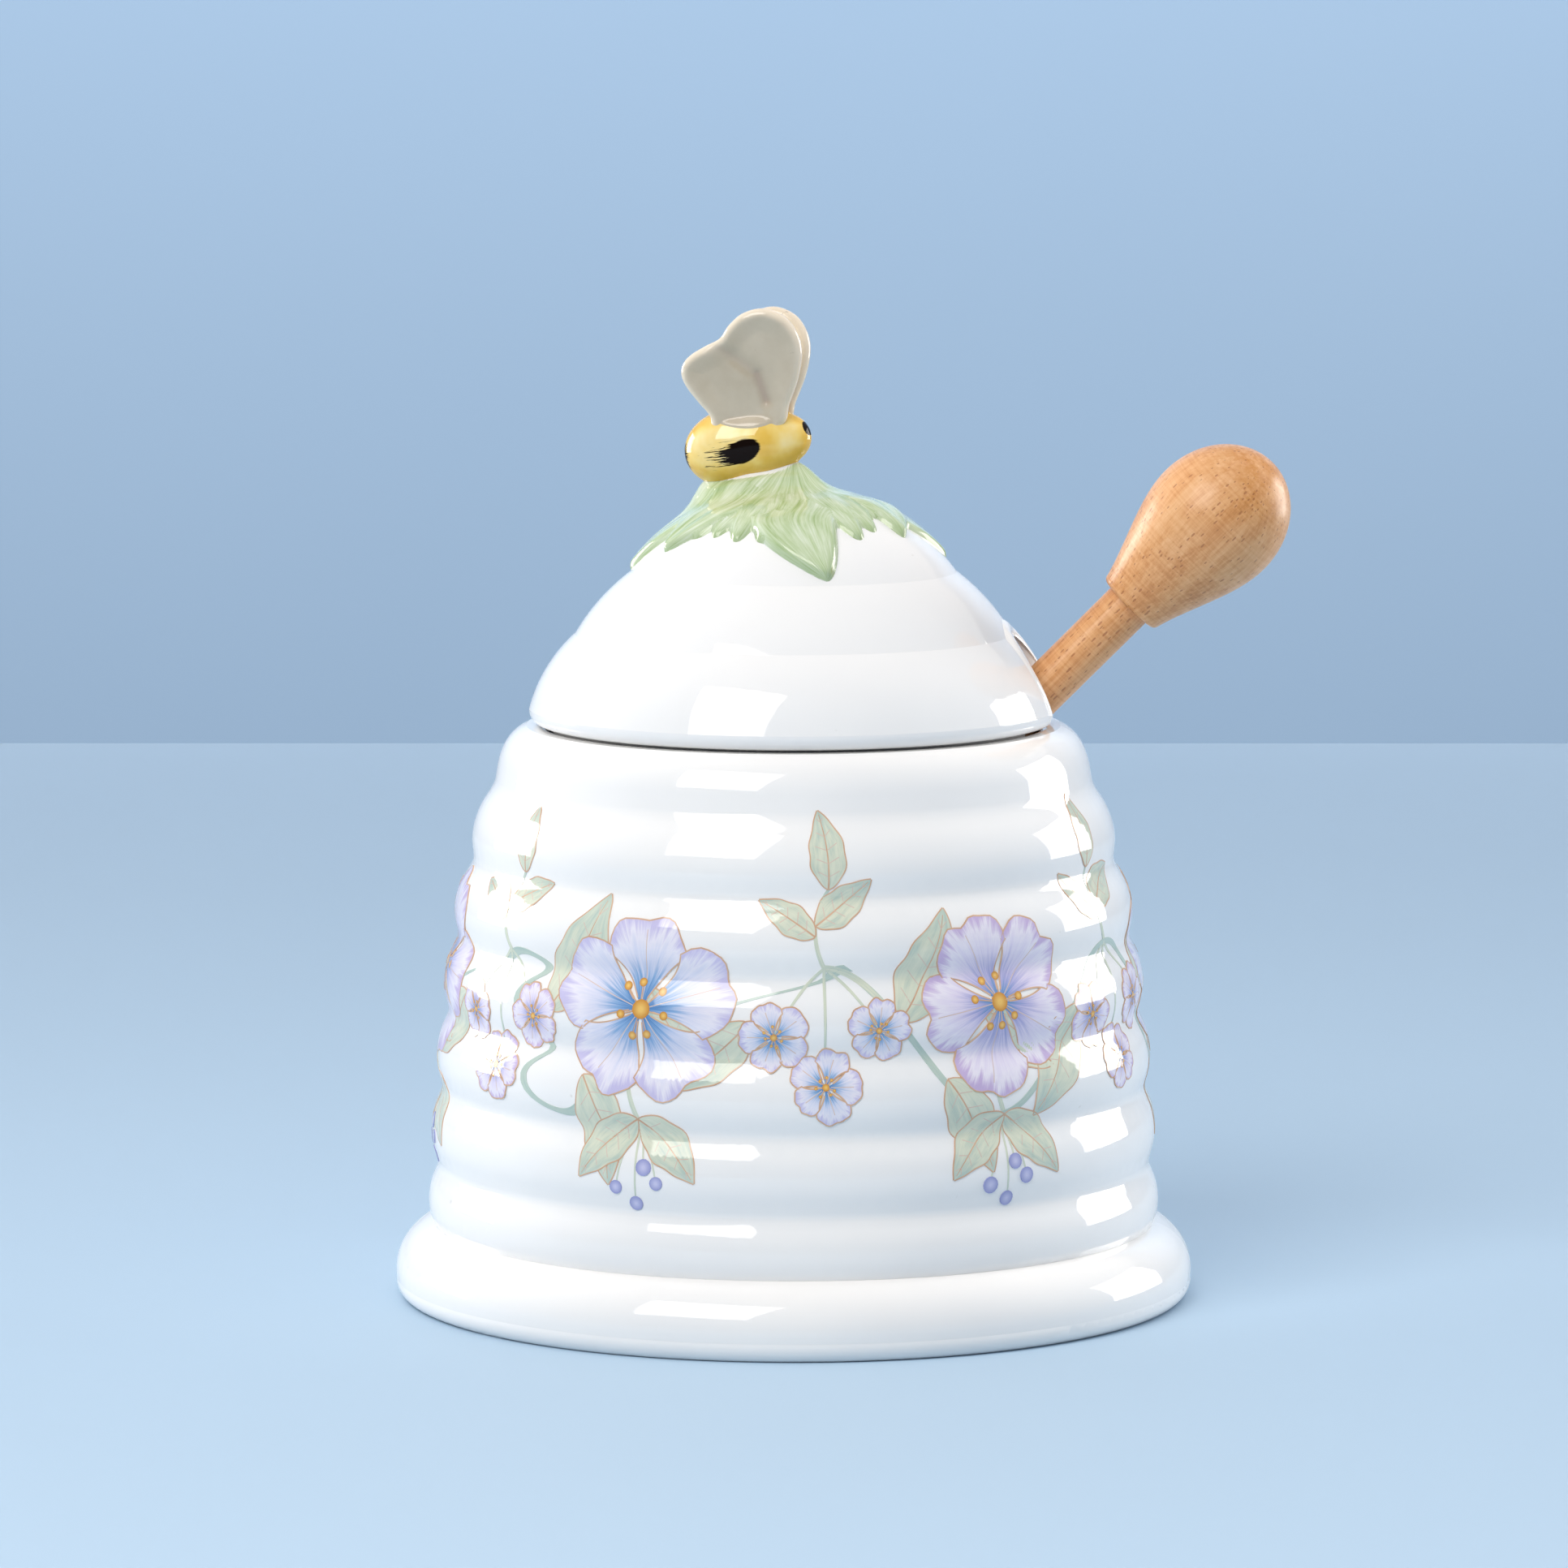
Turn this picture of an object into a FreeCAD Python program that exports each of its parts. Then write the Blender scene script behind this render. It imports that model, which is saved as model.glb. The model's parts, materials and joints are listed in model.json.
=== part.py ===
import FreeCAD, Part
import math
import os

# A porcelain honey pot: a ribbed pot, a domed lid with a collar of leaves and a bee on top,
# and a turned wooden dipper that leans out through a notch in the lid.
# Millimetres. The origin is on the pot's axis, on the table. +Z is up and the dipper leans towards +X.

# Pot
belly_radius = 51.9
rib_count = 6
rib_pitch = 10.77
rib_depth = 1.1
first_rib_height = 13.7
# how far each rib's crest has drawn in from the belly towards the shoulder, from the foot up
crest_draw_shares = (0.0, 0.057, 0.138, 0.248, 0.413, 0.672)
# a rib's flank: its place from the crest in pitches, and how much of the rib's depth it has dropped
flank_place_share = 0.3
flank_drop_share = 0.42
foot_radius = 56.5
foot_height = 10.5
foot_bulge_height = 2.7
foot_under_round = 1.6
foot_groove_depth = 0.7
foot_ring_width = 8.0
foot_recess = 2.8
pot_wall = 5.0
floor_thickness = 5.5
floor_corner_radius = 9.0
mouth_radius = 34.8
mouth_edge_round = 1.3
rim_width = 7.1
shoulder_rise = 2.9
rim_seat_share = 0.42
# the shoulder's curve: places across the rim's width and heights up the last half pitch
shoulder_width_shares = (1.0, 0.8)
shoulder_height_shares = (0.33, 0.76)

# Lid
seat_clearance = 0.3
lid_lap = 2.6
lid_height = 33.2
lid_wall = 3.5
lid_bulge_height = 2.1
lid_edge_round = 1.5
# two swelling rings below the crown: radius and height at the top of each, and how far each swells
ring_radius_shares = (0.826, 0.615)
ring_height_shares = (0.38, 0.645)
ring_swell_shares = (0.073, 0.05)
flange_clearance = 0.6
flange_thickness = 2.6
flange_depth = 6.0
notch_width = 13.0
notch_height = 12.4
flange_gap_width = 17.0

# Bee and its seat on the lid's crown
bee_length = 18.1
bee_radius = 5.0
bee_lift = 6.05
bee_offset = 6.4
bee_pitch_deg = 9.8
bee_yaw_deg = -6.0
# where the bee is thickest, from its tail
bee_tail_share = 0.38
bee_seat_drop = 3.9
mound_length = 20.0
mound_width = 12.0
mound_depth = 13.0
# how deep the mound's middle lies under the bee's seat
mound_sink_share = 0.44

# Wings
wing_span = 16.8
wing_reach = 18.7
wing_thickness = 2.0
wing_edge_round = 0.7
wing_edge_limit_share = 0.45
wing_lean_deg = 10.5
wing_root_offset = 1.7
# a wing's outline round its two lobes: places along the bee and up the wing
wing_span_shares = (0.01, 0.35, 0.48, 0.61, 0.55, 0.32, 0.09, -0.11, -0.31, -0.42, -0.39, -0.27)
wing_reach_shares = (0.09, 0.17, 0.4, 0.67, 0.89, 1.01, 0.94, 0.82, 0.755, 0.64, 0.49, 0.22)

# Leaves on the crown, the uppermost leaf first
leaf_relief = 1.2
leaf_names = (
    "leaf_front",
    "leaf_left",
    "leaf_back",
    "leaf_right",
    "leaf_front_left",
    "leaf_front_right",
    "leaf_back_left",
    "leaf_back_right",
    "leaf_left_front",
)
# direction round the axis, and how far down the crown the tip and the base lie
leaf_turns_deg = (-74.0, 184.0, 89.0, 9.0, -119.0, -33.0, 134.0, 46.0, -150.0)
leaf_tip_shares = (1.0, 1.0, 0.99, 0.96, 0.79, 0.79, 0.85, 0.83, 0.88)
leaf_base_share = 0.13
# a leaf's width, of the crown's radius
leaf_width_share = 0.374

# Dipper
dipper_length = 152.4
shaft_head_radius = 3.25
shaft_grip_radius = 3.55
shaft_rim_clearance = 0.3
tenon_clearance = 0.05
tenon_length = 16.0
grip_length = 28.4
grip_radius = 9.8
grip_collar_radius = 5.1
grip_collar_round = 0.85
# the grip's outline between its collar and its end: place along its length and radius
grip_place_shares = (0.3, 0.62, 0.86, 0.97)
grip_radius_shares = (0.8, 1.0, 0.76, 0.38)
head_length = 30.0
head_radius = 12.0
head_tip_radius = 7.0
head_floor_clearance = 0.3
head_wall_gap = 4.7
groove_count = 5
groove_width = 2.2
groove_core_radius = 6.2
# the barrel's radius where the shaft comes out of it
head_end_share = 0.7

# one overrun for every cut
overrun = 1.0
# how far a quarter circle's middle lies from its chord towards the corner that it rounds off
quarter_round_share = math.sqrt(2) - 1

FULL_TURN_DEG = 360.0
UP = FreeCAD.Vector(0, 0, 1)
SIDE = FreeCAD.Vector(0, 1, 0)
ORIGIN = FreeCAD.Vector(0, 0, 0)

# Sizes that follow
shoulder_radius = mouth_radius + rim_width
rim_height = first_rib_height + rib_count * rib_pitch + shoulder_rise
floor_height = foot_recess + floor_thickness
seat_height = rim_height + seat_clearance
lid_radius = mouth_radius + lid_lap
flange_radius = mouth_radius - flange_clearance
crown_height = seat_height + lid_height
crown_base_radius = lid_radius * ring_radius_shares[-1]
crown_base_height = seat_height + lid_height * ring_height_shares[-1]
crown_rise = crown_height - crown_base_height
crown_radius = (crown_base_radius**2 + crown_rise**2) / (2 * crown_rise)
crown_centre = FreeCAD.Vector(0, 0, crown_height - crown_radius)
crown_half_angle = math.asin(crown_base_radius / crown_radius)
leaf_width = crown_radius * leaf_width_share


def at(radius, height):
    """A point of an outline in the half plane that is turned round the axis."""
    return FreeCAD.Vector(radius, 0, height)


def line(start, end):
    return Part.LineSegment(start, end).toShape()


def arc(start, through, end):
    return Part.Arc(start, through, end).toShape()


def curve(points):
    spline = Part.BSplineCurve()
    spline.interpolate(points)
    return spline.toShape()


def rounded(start, corner, end):
    """An arc that rounds off a square corner: a true quarter circle where its two sides are alike."""
    middle = (start + end) * 0.5
    return arc(start, middle + (corner - middle) * quarter_round_share, end)


def swollen(start, end, swell_share):
    """An arc that swells outwards from the straight line between its ends."""
    run = end - start
    outward = FreeCAD.Vector(run.z, 0, -run.x)
    return arc(start, (start + end) * 0.5 + outward * swell_share, end)


def quarter_ellipse(centre, long_end, short_end):
    ellipse = Part.Ellipse(long_end, short_end, centre)
    return Part.ArcOfEllipse(ellipse, 0, math.pi / 2).toShape()


def turned(edges):
    """The solid that a closed outline sweeps round the Z axis."""
    face = Part.Face(Part.Wire(edges))
    return face.revolve(ORIGIN, UP, FULL_TURN_DEG)


def crest_radius(rib):
    return belly_radius - (belly_radius - shoulder_radius) * crest_draw_shares[rib]


def crest_height(rib):
    return first_rib_height + rib * rib_pitch


def rib_points():
    """The ribbed outside from the groove above the foot to the rim."""
    points = [at(belly_radius - foot_groove_depth, foot_height)]
    radii = [crest_radius(rib) for rib in range(rib_count)] + [shoulder_radius]
    for rib in range(rib_count):
        low, high = radii[rib], radii[rib + 1]
        places = (0, flank_place_share, 0.5, 1 - flank_place_share)
        drops = (0, flank_drop_share, 1, flank_drop_share)
        for place, drop in zip(places, drops):
            radius = low + (high - low) * place - rib_depth * drop
            points.append(at(radius, crest_height(rib) + rib_pitch * place))
    # the shoulder takes the place of the last rib's upper flank
    points.pop()
    shoulder_start = crest_height(rib_count - 1) + rib_pitch / 2
    shoulder_span = rim_height - shoulder_start
    for width_share, height_share in zip(shoulder_width_shares, shoulder_height_shares):
        radius = mouth_radius + rim_width * width_share
        points.append(at(radius, shoulder_start + shoulder_span * height_share))
    points.append(at(mouth_radius + rim_width * rim_seat_share, rim_height))
    return points


def make_pot():
    ribs = rib_points()
    contact_radius = foot_radius - foot_under_round
    ring_radius = contact_radius - foot_ring_width
    widest = at(foot_radius, foot_bulge_height)
    foot_top = at(foot_radius, foot_height)
    edge_top = at(mouth_radius + mouth_edge_round, rim_height)
    edge_low = at(mouth_radius, rim_height - mouth_edge_round)
    inner = [edge_low]
    for rib in reversed(range(1, rib_count)):
        inner.append(at(crest_radius(rib) - pot_wall, crest_height(rib)))
    wall_radius = belly_radius - pot_wall
    corner_top = at(wall_radius, floor_height + floor_corner_radius)
    corner_low = at(wall_radius - floor_corner_radius, floor_height)
    inner.append(corner_top)
    return turned(
        [
            line(at(0, foot_recess), at(ring_radius - foot_recess, foot_recess)),
            line(at(ring_radius - foot_recess, foot_recess), at(ring_radius, 0)),
            line(at(ring_radius, 0), at(contact_radius, 0)),
            rounded(at(contact_radius, 0), at(foot_radius, 0), widest),
            rounded(widest, foot_top, ribs[0]),
            curve(ribs),
            line(ribs[-1], edge_top),
            rounded(edge_top, at(mouth_radius, rim_height), edge_low),
            curve(inner),
            rounded(corner_top, at(wall_radius, floor_height), corner_low),
            line(corner_low, at(0, floor_height)),
            line(at(0, floor_height), at(0, foot_recess)),
        ]
    )


def make_dome():
    """The lid's dome and locating flange, before the notch and the bee's seat."""
    bulge = at(lid_radius, seat_height + lid_bulge_height)
    edge = at(lid_radius - lid_edge_round, seat_height)
    tops = [
        at(lid_radius * radius_share, seat_height + lid_height * height_share)
        for radius_share, height_share in zip(ring_radius_shares, ring_height_shares)
    ]
    top = at(0, crown_height)
    crown_middle = at(
        crown_radius * math.sin(crown_half_angle / 2),
        crown_centre.z + crown_radius * math.cos(crown_half_angle / 2),
    )
    inside = [at(flange_radius - flange_thickness, seat_height + lid_bulge_height)]
    starts = [bulge] + tops
    for start, end in zip(starts, tops):
        run = (end - start).normalize()
        inside.append(end - FreeCAD.Vector(run.z, 0, -run.x) * lid_wall)
    inside.append(at(0, crown_height - lid_wall))
    flange_low = seat_height - flange_depth
    flange_inner = flange_radius - flange_thickness
    return turned(
        [
            rounded(edge, at(lid_radius, seat_height), bulge),
            swollen(bulge, tops[0], ring_swell_shares[0]),
            swollen(tops[0], tops[1], ring_swell_shares[1]),
            arc(tops[1], crown_middle, top),
            line(top, inside[-1]),
            curve(list(reversed(inside))),
            line(inside[0], at(flange_inner, flange_low)),
            line(at(flange_inner, flange_low), at(flange_radius, flange_low)),
            line(at(flange_radius, flange_low), at(flange_radius, seat_height)),
            line(at(flange_radius, seat_height), edge),
        ]
    )


def make_notch():
    """The arch in the lid's edge and the wider gap in the flange that let the dipper out."""
    half = notch_width / 2
    spring = seat_height + notch_height - half
    low = seat_height - overrun
    corners = [
        FreeCAD.Vector(0, -half, low),
        FreeCAD.Vector(0, -half, spring),
        FreeCAD.Vector(0, 0, spring + half),
        FreeCAD.Vector(0, half, spring),
        FreeCAD.Vector(0, half, low),
    ]
    outline = Part.Wire(
        [
            line(corners[0], corners[1]),
            arc(corners[1], corners[2], corners[3]),
            line(corners[3], corners[4]),
            line(corners[4], corners[0]),
        ]
    )
    arch = Part.Face(outline).extrude(FreeCAD.Vector(lid_radius + overrun, 0, 0))
    gap = Part.makeBox(
        flange_radius + overrun,
        flange_gap_width,
        flange_depth + overrun,
        FreeCAD.Vector(0, -flange_gap_width / 2, seat_height - flange_depth - overrun),
    )
    return arch.fuse(gap)


def bee_placement():
    """From the bee's own axis, its head along +X, to its place on the lid."""
    yaw = FreeCAD.Rotation(UP, bee_yaw_deg)
    pitch = FreeCAD.Rotation(SIDE, -bee_pitch_deg)
    heading = yaw.multVec(FreeCAD.Vector(1, 0, 0))
    middle = FreeCAD.Vector(0, 0, crown_height + bee_lift) - heading * bee_offset
    return FreeCAD.Placement(middle, yaw.multiply(pitch))


def bee_floor():
    """Everything under the plane on which the bee sits, in the bee's own frame."""
    reach = bee_length + mound_length + overrun
    corner = FreeCAD.Vector(-reach / 2, -reach / 2, -bee_seat_drop - reach)
    return Part.makeBox(reach, reach, reach, corner)


def make_mound():
    """The swelling of slip on the crown that carries the bee, cut off at the bee's seat."""
    scale = FreeCAD.Matrix()
    scale.scale(mound_length / 2, mound_width / 2, mound_depth / 2)
    swelling = Part.makeSphere(1).transformGeometry(scale)
    swelling.translate(FreeCAD.Vector(0, 0, -bee_seat_drop - mound_depth * mound_sink_share))
    mound = swelling.common(bee_floor())
    mound.Placement = bee_placement()
    hollow = Part.makeSphere(crown_radius - lid_wall / 2, crown_centre)
    return mound.cut(hollow)


def make_bee_body():
    """An egg shape, fuller at the tail, with its belly cut flat where it sits on the mound."""
    tail_length = bee_length * bee_tail_share
    waist = FreeCAD.Vector(tail_length - bee_length / 2, 0, 0)
    belly = waist - UP * bee_radius
    tail = waist - FreeCAD.Vector(tail_length, 0, 0)
    head = waist + FreeCAD.Vector(bee_length - tail_length, 0, 0)
    outline = Part.Wire(
        [
            quarter_ellipse(waist, tail, belly),
            quarter_ellipse(waist, head, belly),
            line(head, tail),
        ]
    )
    body = Part.Face(outline).revolve(ORIGIN, FreeCAD.Vector(1, 0, 0), FULL_TURN_DEG)
    body = body.cut(bee_floor())
    body.Placement = bee_placement()
    return body


def make_wing(side, body):
    """One wing, leaning out to its side of the bee and cut to sit on the bee's back."""
    points = [
        FreeCAD.Vector(wing_span * span, 0, wing_reach * reach)
        for span, reach in zip(wing_span_shares, wing_reach_shares)
    ]
    spline = Part.BSplineCurve()
    spline.interpolate(points, PeriodicFlag=True)
    plate = Part.Face(Part.Wire(spline.toShape()))
    plate.translate(FreeCAD.Vector(0, -wing_thickness / 2, 0))
    wing = plate.extrude(FreeCAD.Vector(0, wing_thickness, 0))
    rounding = min(wing_edge_round, wing_thickness * wing_edge_limit_share)
    wing = wing.makeFillet(rounding, wing.Edges)
    lean = FreeCAD.Rotation(FreeCAD.Vector(1, 0, 0), -side * wing_lean_deg)
    foot = FreeCAD.Vector(0, side * wing_root_offset, 0)
    wing.Placement = bee_placement().multiply(FreeCAD.Placement(foot, lean))
    return wing.cut(body)


def leaf_blank(turn_deg, tip_share):
    """A pointed leaf's outline, run through the crown along the leaf's middle radius."""
    half_span = crown_half_angle * (tip_share - leaf_base_share) / 2
    middle_angle = crown_half_angle * (tip_share + leaf_base_share) / 2
    half_length = crown_radius * math.sin(half_span)
    depth = crown_radius * (1 - math.cos(half_span)) + overrun
    base = FreeCAD.Vector(-half_length, 0, -depth)
    tip = FreeCAD.Vector(half_length, 0, -depth)
    left = FreeCAD.Vector(0, leaf_width / 2, -depth)
    right = FreeCAD.Vector(0, -leaf_width / 2, -depth)
    outline = Part.Wire([arc(base, left, tip), arc(tip, right, base)])
    blank = Part.Face(outline).extrude(UP * (depth + leaf_relief + overrun))
    tilt = FreeCAD.Rotation(SIDE, math.degrees(middle_angle))
    aim = FreeCAD.Rotation(UP, turn_deg).multiply(tilt)
    blank.Placement = FreeCAD.Placement(crown_centre + aim.multVec(UP) * crown_radius, aim)
    return blank


def make_leaves(obstacles):
    """Every leaf, each cut to lie beside the leaves that are laid over it."""
    outer = Part.makeSphere(crown_radius + leaf_relief, crown_centre)
    skin = outer.cut(Part.makeSphere(crown_radius, crown_centre))
    made = {}
    over = list(obstacles)
    for name, turn_deg, tip_share in zip(leaf_names, leaf_turns_deg, leaf_tip_shares):
        blank = leaf_blank(turn_deg, tip_share)
        made[name] = skin.common(blank).cut(over)
        over.append(blank)
    return made


def dipper_placement():
    """From the dipper's own frame, +Z from its tip to its grip, to its lean over the rim.

    The tip's round end stands on the floor and the shaft lies over the round of the rim's inner edge.
    """
    tip = at(
        head_wall_gap + head_tip_radius + pot_wall - belly_radius,
        floor_height + head_floor_clearance + head_tip_radius,
    )
    edge = at(mouth_radius + mouth_edge_round, rim_height - mouth_edge_round)
    run = edge - tip
    lift = mouth_edge_round + shaft_grip_radius + shaft_rim_clearance
    lean = math.atan2(run.z, run.x) + math.asin(lift / run.Length)
    turn = FreeCAD.Rotation(SIDE, math.degrees(math.pi / 2 - lean))
    along = turn.multVec(UP)
    return FreeCAD.Placement(tip - along * head_tip_radius, turn)


def make_grip():
    start = dipper_length - grip_length
    bore = shaft_grip_radius + tenon_clearance
    points = [at(grip_collar_radius, start + grip_collar_round)]
    for place, radius in zip(grip_place_shares, grip_radius_shares):
        points.append(at(grip_radius * radius, start + grip_length * place))
    points.append(at(0, dipper_length))
    collar = at(grip_collar_radius - grip_collar_round, start)
    return turned(
        [
            line(at(bore, start), collar),
            rounded(collar, at(grip_collar_radius, start), points[0]),
            curve(points),
            line(points[-1], at(0, start + tenon_length)),
            line(at(0, start + tenon_length), at(bore, start + tenon_length)),
            line(at(bore, start + tenon_length), at(bore, start)),
        ]
    )


def make_shaft():
    """A tapered dowel from the bottom of the head's bore to the bottom of the grip's."""
    low = head_length - tenon_length
    length = dipper_length - grip_length + tenon_length - low
    return Part.makeCone(shaft_head_radius, shaft_grip_radius, length, at(0, low))


def make_head():
    """A barrel with a round tip and grooves that hold the honey."""
    end_radius = head_radius * head_end_share
    middle = at(head_radius, head_length / 2)
    top = at(end_radius, head_length)
    bore_low = head_length - tenon_length
    shaft_length = dipper_length - grip_length + tenon_length - bore_low
    taper = (shaft_grip_radius - shaft_head_radius) / shaft_length
    bore = shaft_head_radius + tenon_clearance
    bore_top = bore + taper * tenon_length
    tip_edge = at(head_tip_radius, head_tip_radius)
    barrel = turned(
        [
            rounded(at(0, 0), at(head_tip_radius, 0), tip_edge),
            arc(tip_edge, middle, top),
            line(top, at(bore_top, head_length)),
            line(at(bore_top, head_length), at(bore, bore_low)),
            line(at(bore, bore_low), at(0, bore_low)),
            line(at(0, bore_low), at(0, 0)),
        ]
    )
    pitch = (head_length - head_tip_radius) / groove_count
    for groove in range(groove_count):
        low = head_tip_radius + pitch * groove
        ring = Part.makeCylinder(head_radius + overrun, groove_width, at(0, low))
        core = Part.makeCylinder(groove_core_radius, groove_width, at(0, low))
        barrel = barrel.cut(ring.cut(core))
    return barrel


bee_body = make_bee_body()
wings = {"bee_wing_near": make_wing(-1, bee_body), "bee_wing_far": make_wing(1, bee_body)}
mound = make_mound()
nodes = {
    "pot_body": make_pot(),
    "lid_shell": make_dome().fuse(mound).cut(make_notch()).removeSplitter(),
    "bee_body": bee_body,
    **wings,
    **make_leaves([mound, bee_body]),
}
for name, piece in (
    ("dipper_grip", make_grip()),
    ("dipper_shaft", make_shaft()),
    ("dipper_head", make_head()),
):
    piece.Placement = dipper_placement()
    nodes[name] = piece

os.makedirs("parts", exist_ok=True)
for name, shape in nodes.items():
    solids = shape.Solids
    print(name, len(solids), shape.isValid(), round(shape.Volume))
    solids[0].exportStep(f"parts/{name}.step")

slide = dipper_placement().Rotation.multVec(UP)
print("dipper axis", slide, "tip", dipper_placement().Base, "rim", rim_height)
print("crown", crown_height, "sphere", crown_radius, crown_centre, "bee", bee_placement().Base)
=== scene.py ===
import json
import math
import random

import bmesh
import bpy
import numpy as np
from mathutils import Matrix, Vector
from mathutils.bvhtree import BVHTree


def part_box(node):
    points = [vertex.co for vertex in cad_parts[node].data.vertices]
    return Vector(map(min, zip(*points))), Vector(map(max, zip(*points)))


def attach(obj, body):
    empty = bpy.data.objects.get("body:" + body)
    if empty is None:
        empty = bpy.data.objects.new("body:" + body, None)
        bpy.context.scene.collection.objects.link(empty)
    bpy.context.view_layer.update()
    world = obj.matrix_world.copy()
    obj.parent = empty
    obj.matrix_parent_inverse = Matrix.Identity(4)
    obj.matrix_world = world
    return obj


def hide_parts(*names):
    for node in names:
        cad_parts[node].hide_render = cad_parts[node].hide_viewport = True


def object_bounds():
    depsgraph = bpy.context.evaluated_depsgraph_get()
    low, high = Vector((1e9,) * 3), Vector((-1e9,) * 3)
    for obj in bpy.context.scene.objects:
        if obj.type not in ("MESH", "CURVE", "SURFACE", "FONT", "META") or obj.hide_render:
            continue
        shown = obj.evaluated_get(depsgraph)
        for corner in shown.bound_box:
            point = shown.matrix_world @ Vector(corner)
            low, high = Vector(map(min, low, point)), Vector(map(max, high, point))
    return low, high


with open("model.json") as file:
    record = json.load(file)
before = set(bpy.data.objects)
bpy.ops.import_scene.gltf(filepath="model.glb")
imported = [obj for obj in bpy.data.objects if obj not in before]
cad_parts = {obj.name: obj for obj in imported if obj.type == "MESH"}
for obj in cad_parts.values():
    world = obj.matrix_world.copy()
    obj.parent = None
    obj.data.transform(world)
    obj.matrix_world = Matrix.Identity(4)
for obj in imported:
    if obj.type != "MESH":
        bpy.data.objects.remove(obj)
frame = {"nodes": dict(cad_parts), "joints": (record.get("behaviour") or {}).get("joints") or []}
cad_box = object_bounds()
nodes = frame["nodes"]

# Metres. The frame is the model's own: +Z up, -Y the front, the dipper leans out towards +X.

# Camera, fitted to the photograph's ellipses
camera_distance = 1.1343
camera_height = 0.2077
camera_turn_deg = 4.0
camera_drop_deg = 6.79
camera_aside_deg = 0.069
lens_mm = 185.2
sensor_mm = 36.0

# Stage: a table that ends behind the pot, and a wall further back that leaves room for a view from behind
table_depth = 0.70
table_front = 2.4
table_thickness = 0.06
table_edge_radius = 0.012
table_edge_steps = 8
table_colour = (0.50, 0.66, 0.815)
# painted shade: the colour the table darkens to towards its far edge
table_far_shade_colour = (0.38, 0.51, 0.65)
stage_half_width = 2.8
wall_distance = 2.4
wall_low = -1.2
wall_high = 1.6
wall_colour = (0.405, 0.587, 0.818)
wall_cloud_colour = (0.36, 0.53, 0.76)
# the strip light that washes the wall
wall_light_gap = 1.0
wall_light_height = 1.2
wall_light_width = 3.2
wall_light_depth = 0.4
wall_light_power = 40.0

# Softboxes: direction round the pot from the camera, height angle, distance, width, height and power, and
# whether the glaze mirrors them and the stage is lit by them
softboxes = (
    ("softbox_left", -119.0, 7.0, 1.0, 0.48, 0.60, 8.0, True, False),
    ("softbox_key", -31.0, 41.0, 1.35, 0.78, 0.80, 12.0, True, True),
    ("softbox_right", 116.0, 7.0, 1.0, 0.50, 0.60, 7.0, True, False),
    ("scrim_top", 30.0, 64.0, 1.5, 1.6, 1.6, 8.4, False, True),
)
light_colour = (1.0, 0.955, 0.905)
# the room: dark behind the camera, lighter to the sides
world_stops = ((0.25, (0.10, 0.11, 0.13)), (0.62, (0.64, 0.67, 0.72)))

# Crown of the lid, on which the collar of leaves lies
crown_radius = 0.028337
crown_half_angle_deg = 54.27
crown_top = 0.11472
crown_centre = Vector((0, 0, crown_top - crown_radius))

# Collar: each leaf's direction round the axis, the reach of its tip down the crown, its width, bend, relief
# and how pointed it is
collar_leaves = (
    (89.0, 0.99, 1.0, 0.2, 0.9, 0.9),
    (134.0, 0.85, 0.9, -0.2, 0.9, 0.8),
    (46.0, 0.83, 0.9, 0.2, 0.9, 0.8),
    (184.0, 1.0, 1.0, 0.2, 0.9, 0.9),
    (9.0, 0.93, 0.95, -0.3, 0.7, 0.9),
    (-137.0, 0.72, 0.50, 0.2, 0.6, 0.5),
    (-126.0, 0.70, 0.42, 0.2, 0.6, 0.5),
    (-113.0, 0.72, 0.45, -0.2, 0.7, 0.5),
    (-101.0, 0.72, 0.45, 0.2, 0.7, 0.5),
    (-54.0, 0.71, 0.45, -0.2, 0.7, 0.5),
    (-43.0, 0.66, 0.42, 0.2, 0.6, 0.5),
    (-150.0, 0.83, 0.85, 0.3, 1.0, 0.7),
    (-26.0, 0.72, 0.85, 0.8, 1.1, 0.8),
    (-74.0, 0.97, 1.08, -0.5, 1.25, 0.75),
)
leaf_half_width = 0.0057
leaf_relief = 0.0010
leaf_edge = 0.0014
leaf_sink = 0.0006
leaf_shoulder_share = 0.42
leaf_taper_power = 2.2
leaf_point_floor = 0.0004
# along a leaf, where each of these starts and how long it takes: its rise, the drawing together of its brush
# strokes, its creases and its tip
leaf_rise_shares = (0.35, 0.3)
leaf_drawn_shares = (0.3, 0.35)
leaf_crease_shares = (0.45, 0.2)
leaf_tip_shares = (0.65, 0.3)
groove_share = 0.12
groove_width_share = 0.2
crease_width_share = 0.05
# darker green in the creases between leaves and round the tips
crease_dark_share = 0.6
tip_dark_share = 0.45
dark_soften_steps = 2
paint_soften_steps = 3
paint_spread_share = 0.55
paint_gap_share = 0.3
skirt_share = 0.55
skirt_relief_share = 0.5
slip_band = 0.0009
slip_half_length = 0.0088
slip_half_width = 0.0036
slip_rise = 0.0011
slip_steepness = 1.5
collar_turn_steps = 420
collar_reach_steps = 118
collar_reach_deg = 67.0
collar_sink = 0.0009
collar_least = collar_sink / 5
collar_ray_start = 2 * crown_radius
collar_soften_steps = 110
leaf_soften_steps = 6

# Lip round the lid's notch
lid_seat = 0.08152
notch_half_width = 0.0065
notch_height = 0.0124
lip_half_width = 0.0019
lip_overhang = 0.00025
lip_inset = 0.0007
lip_steps = 60
lip_turn_steps = 28
lip_cap = 0.0014
lip_cap_steps = 6

# Bee
bee_middle = Vector((-0.00636, 0.00067, 0.12077))
bee_yaw_deg = -6.0
bee_pitch_deg = 9.8
bee_seat_drop = 0.0039
# tail and head: place along the bee, half length and radius
bee_tail = (-0.0022, 0.0071, 0.0056)
bee_head = (0.0046, 0.0044, 0.00375)
bee_blend = 2.2
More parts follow.
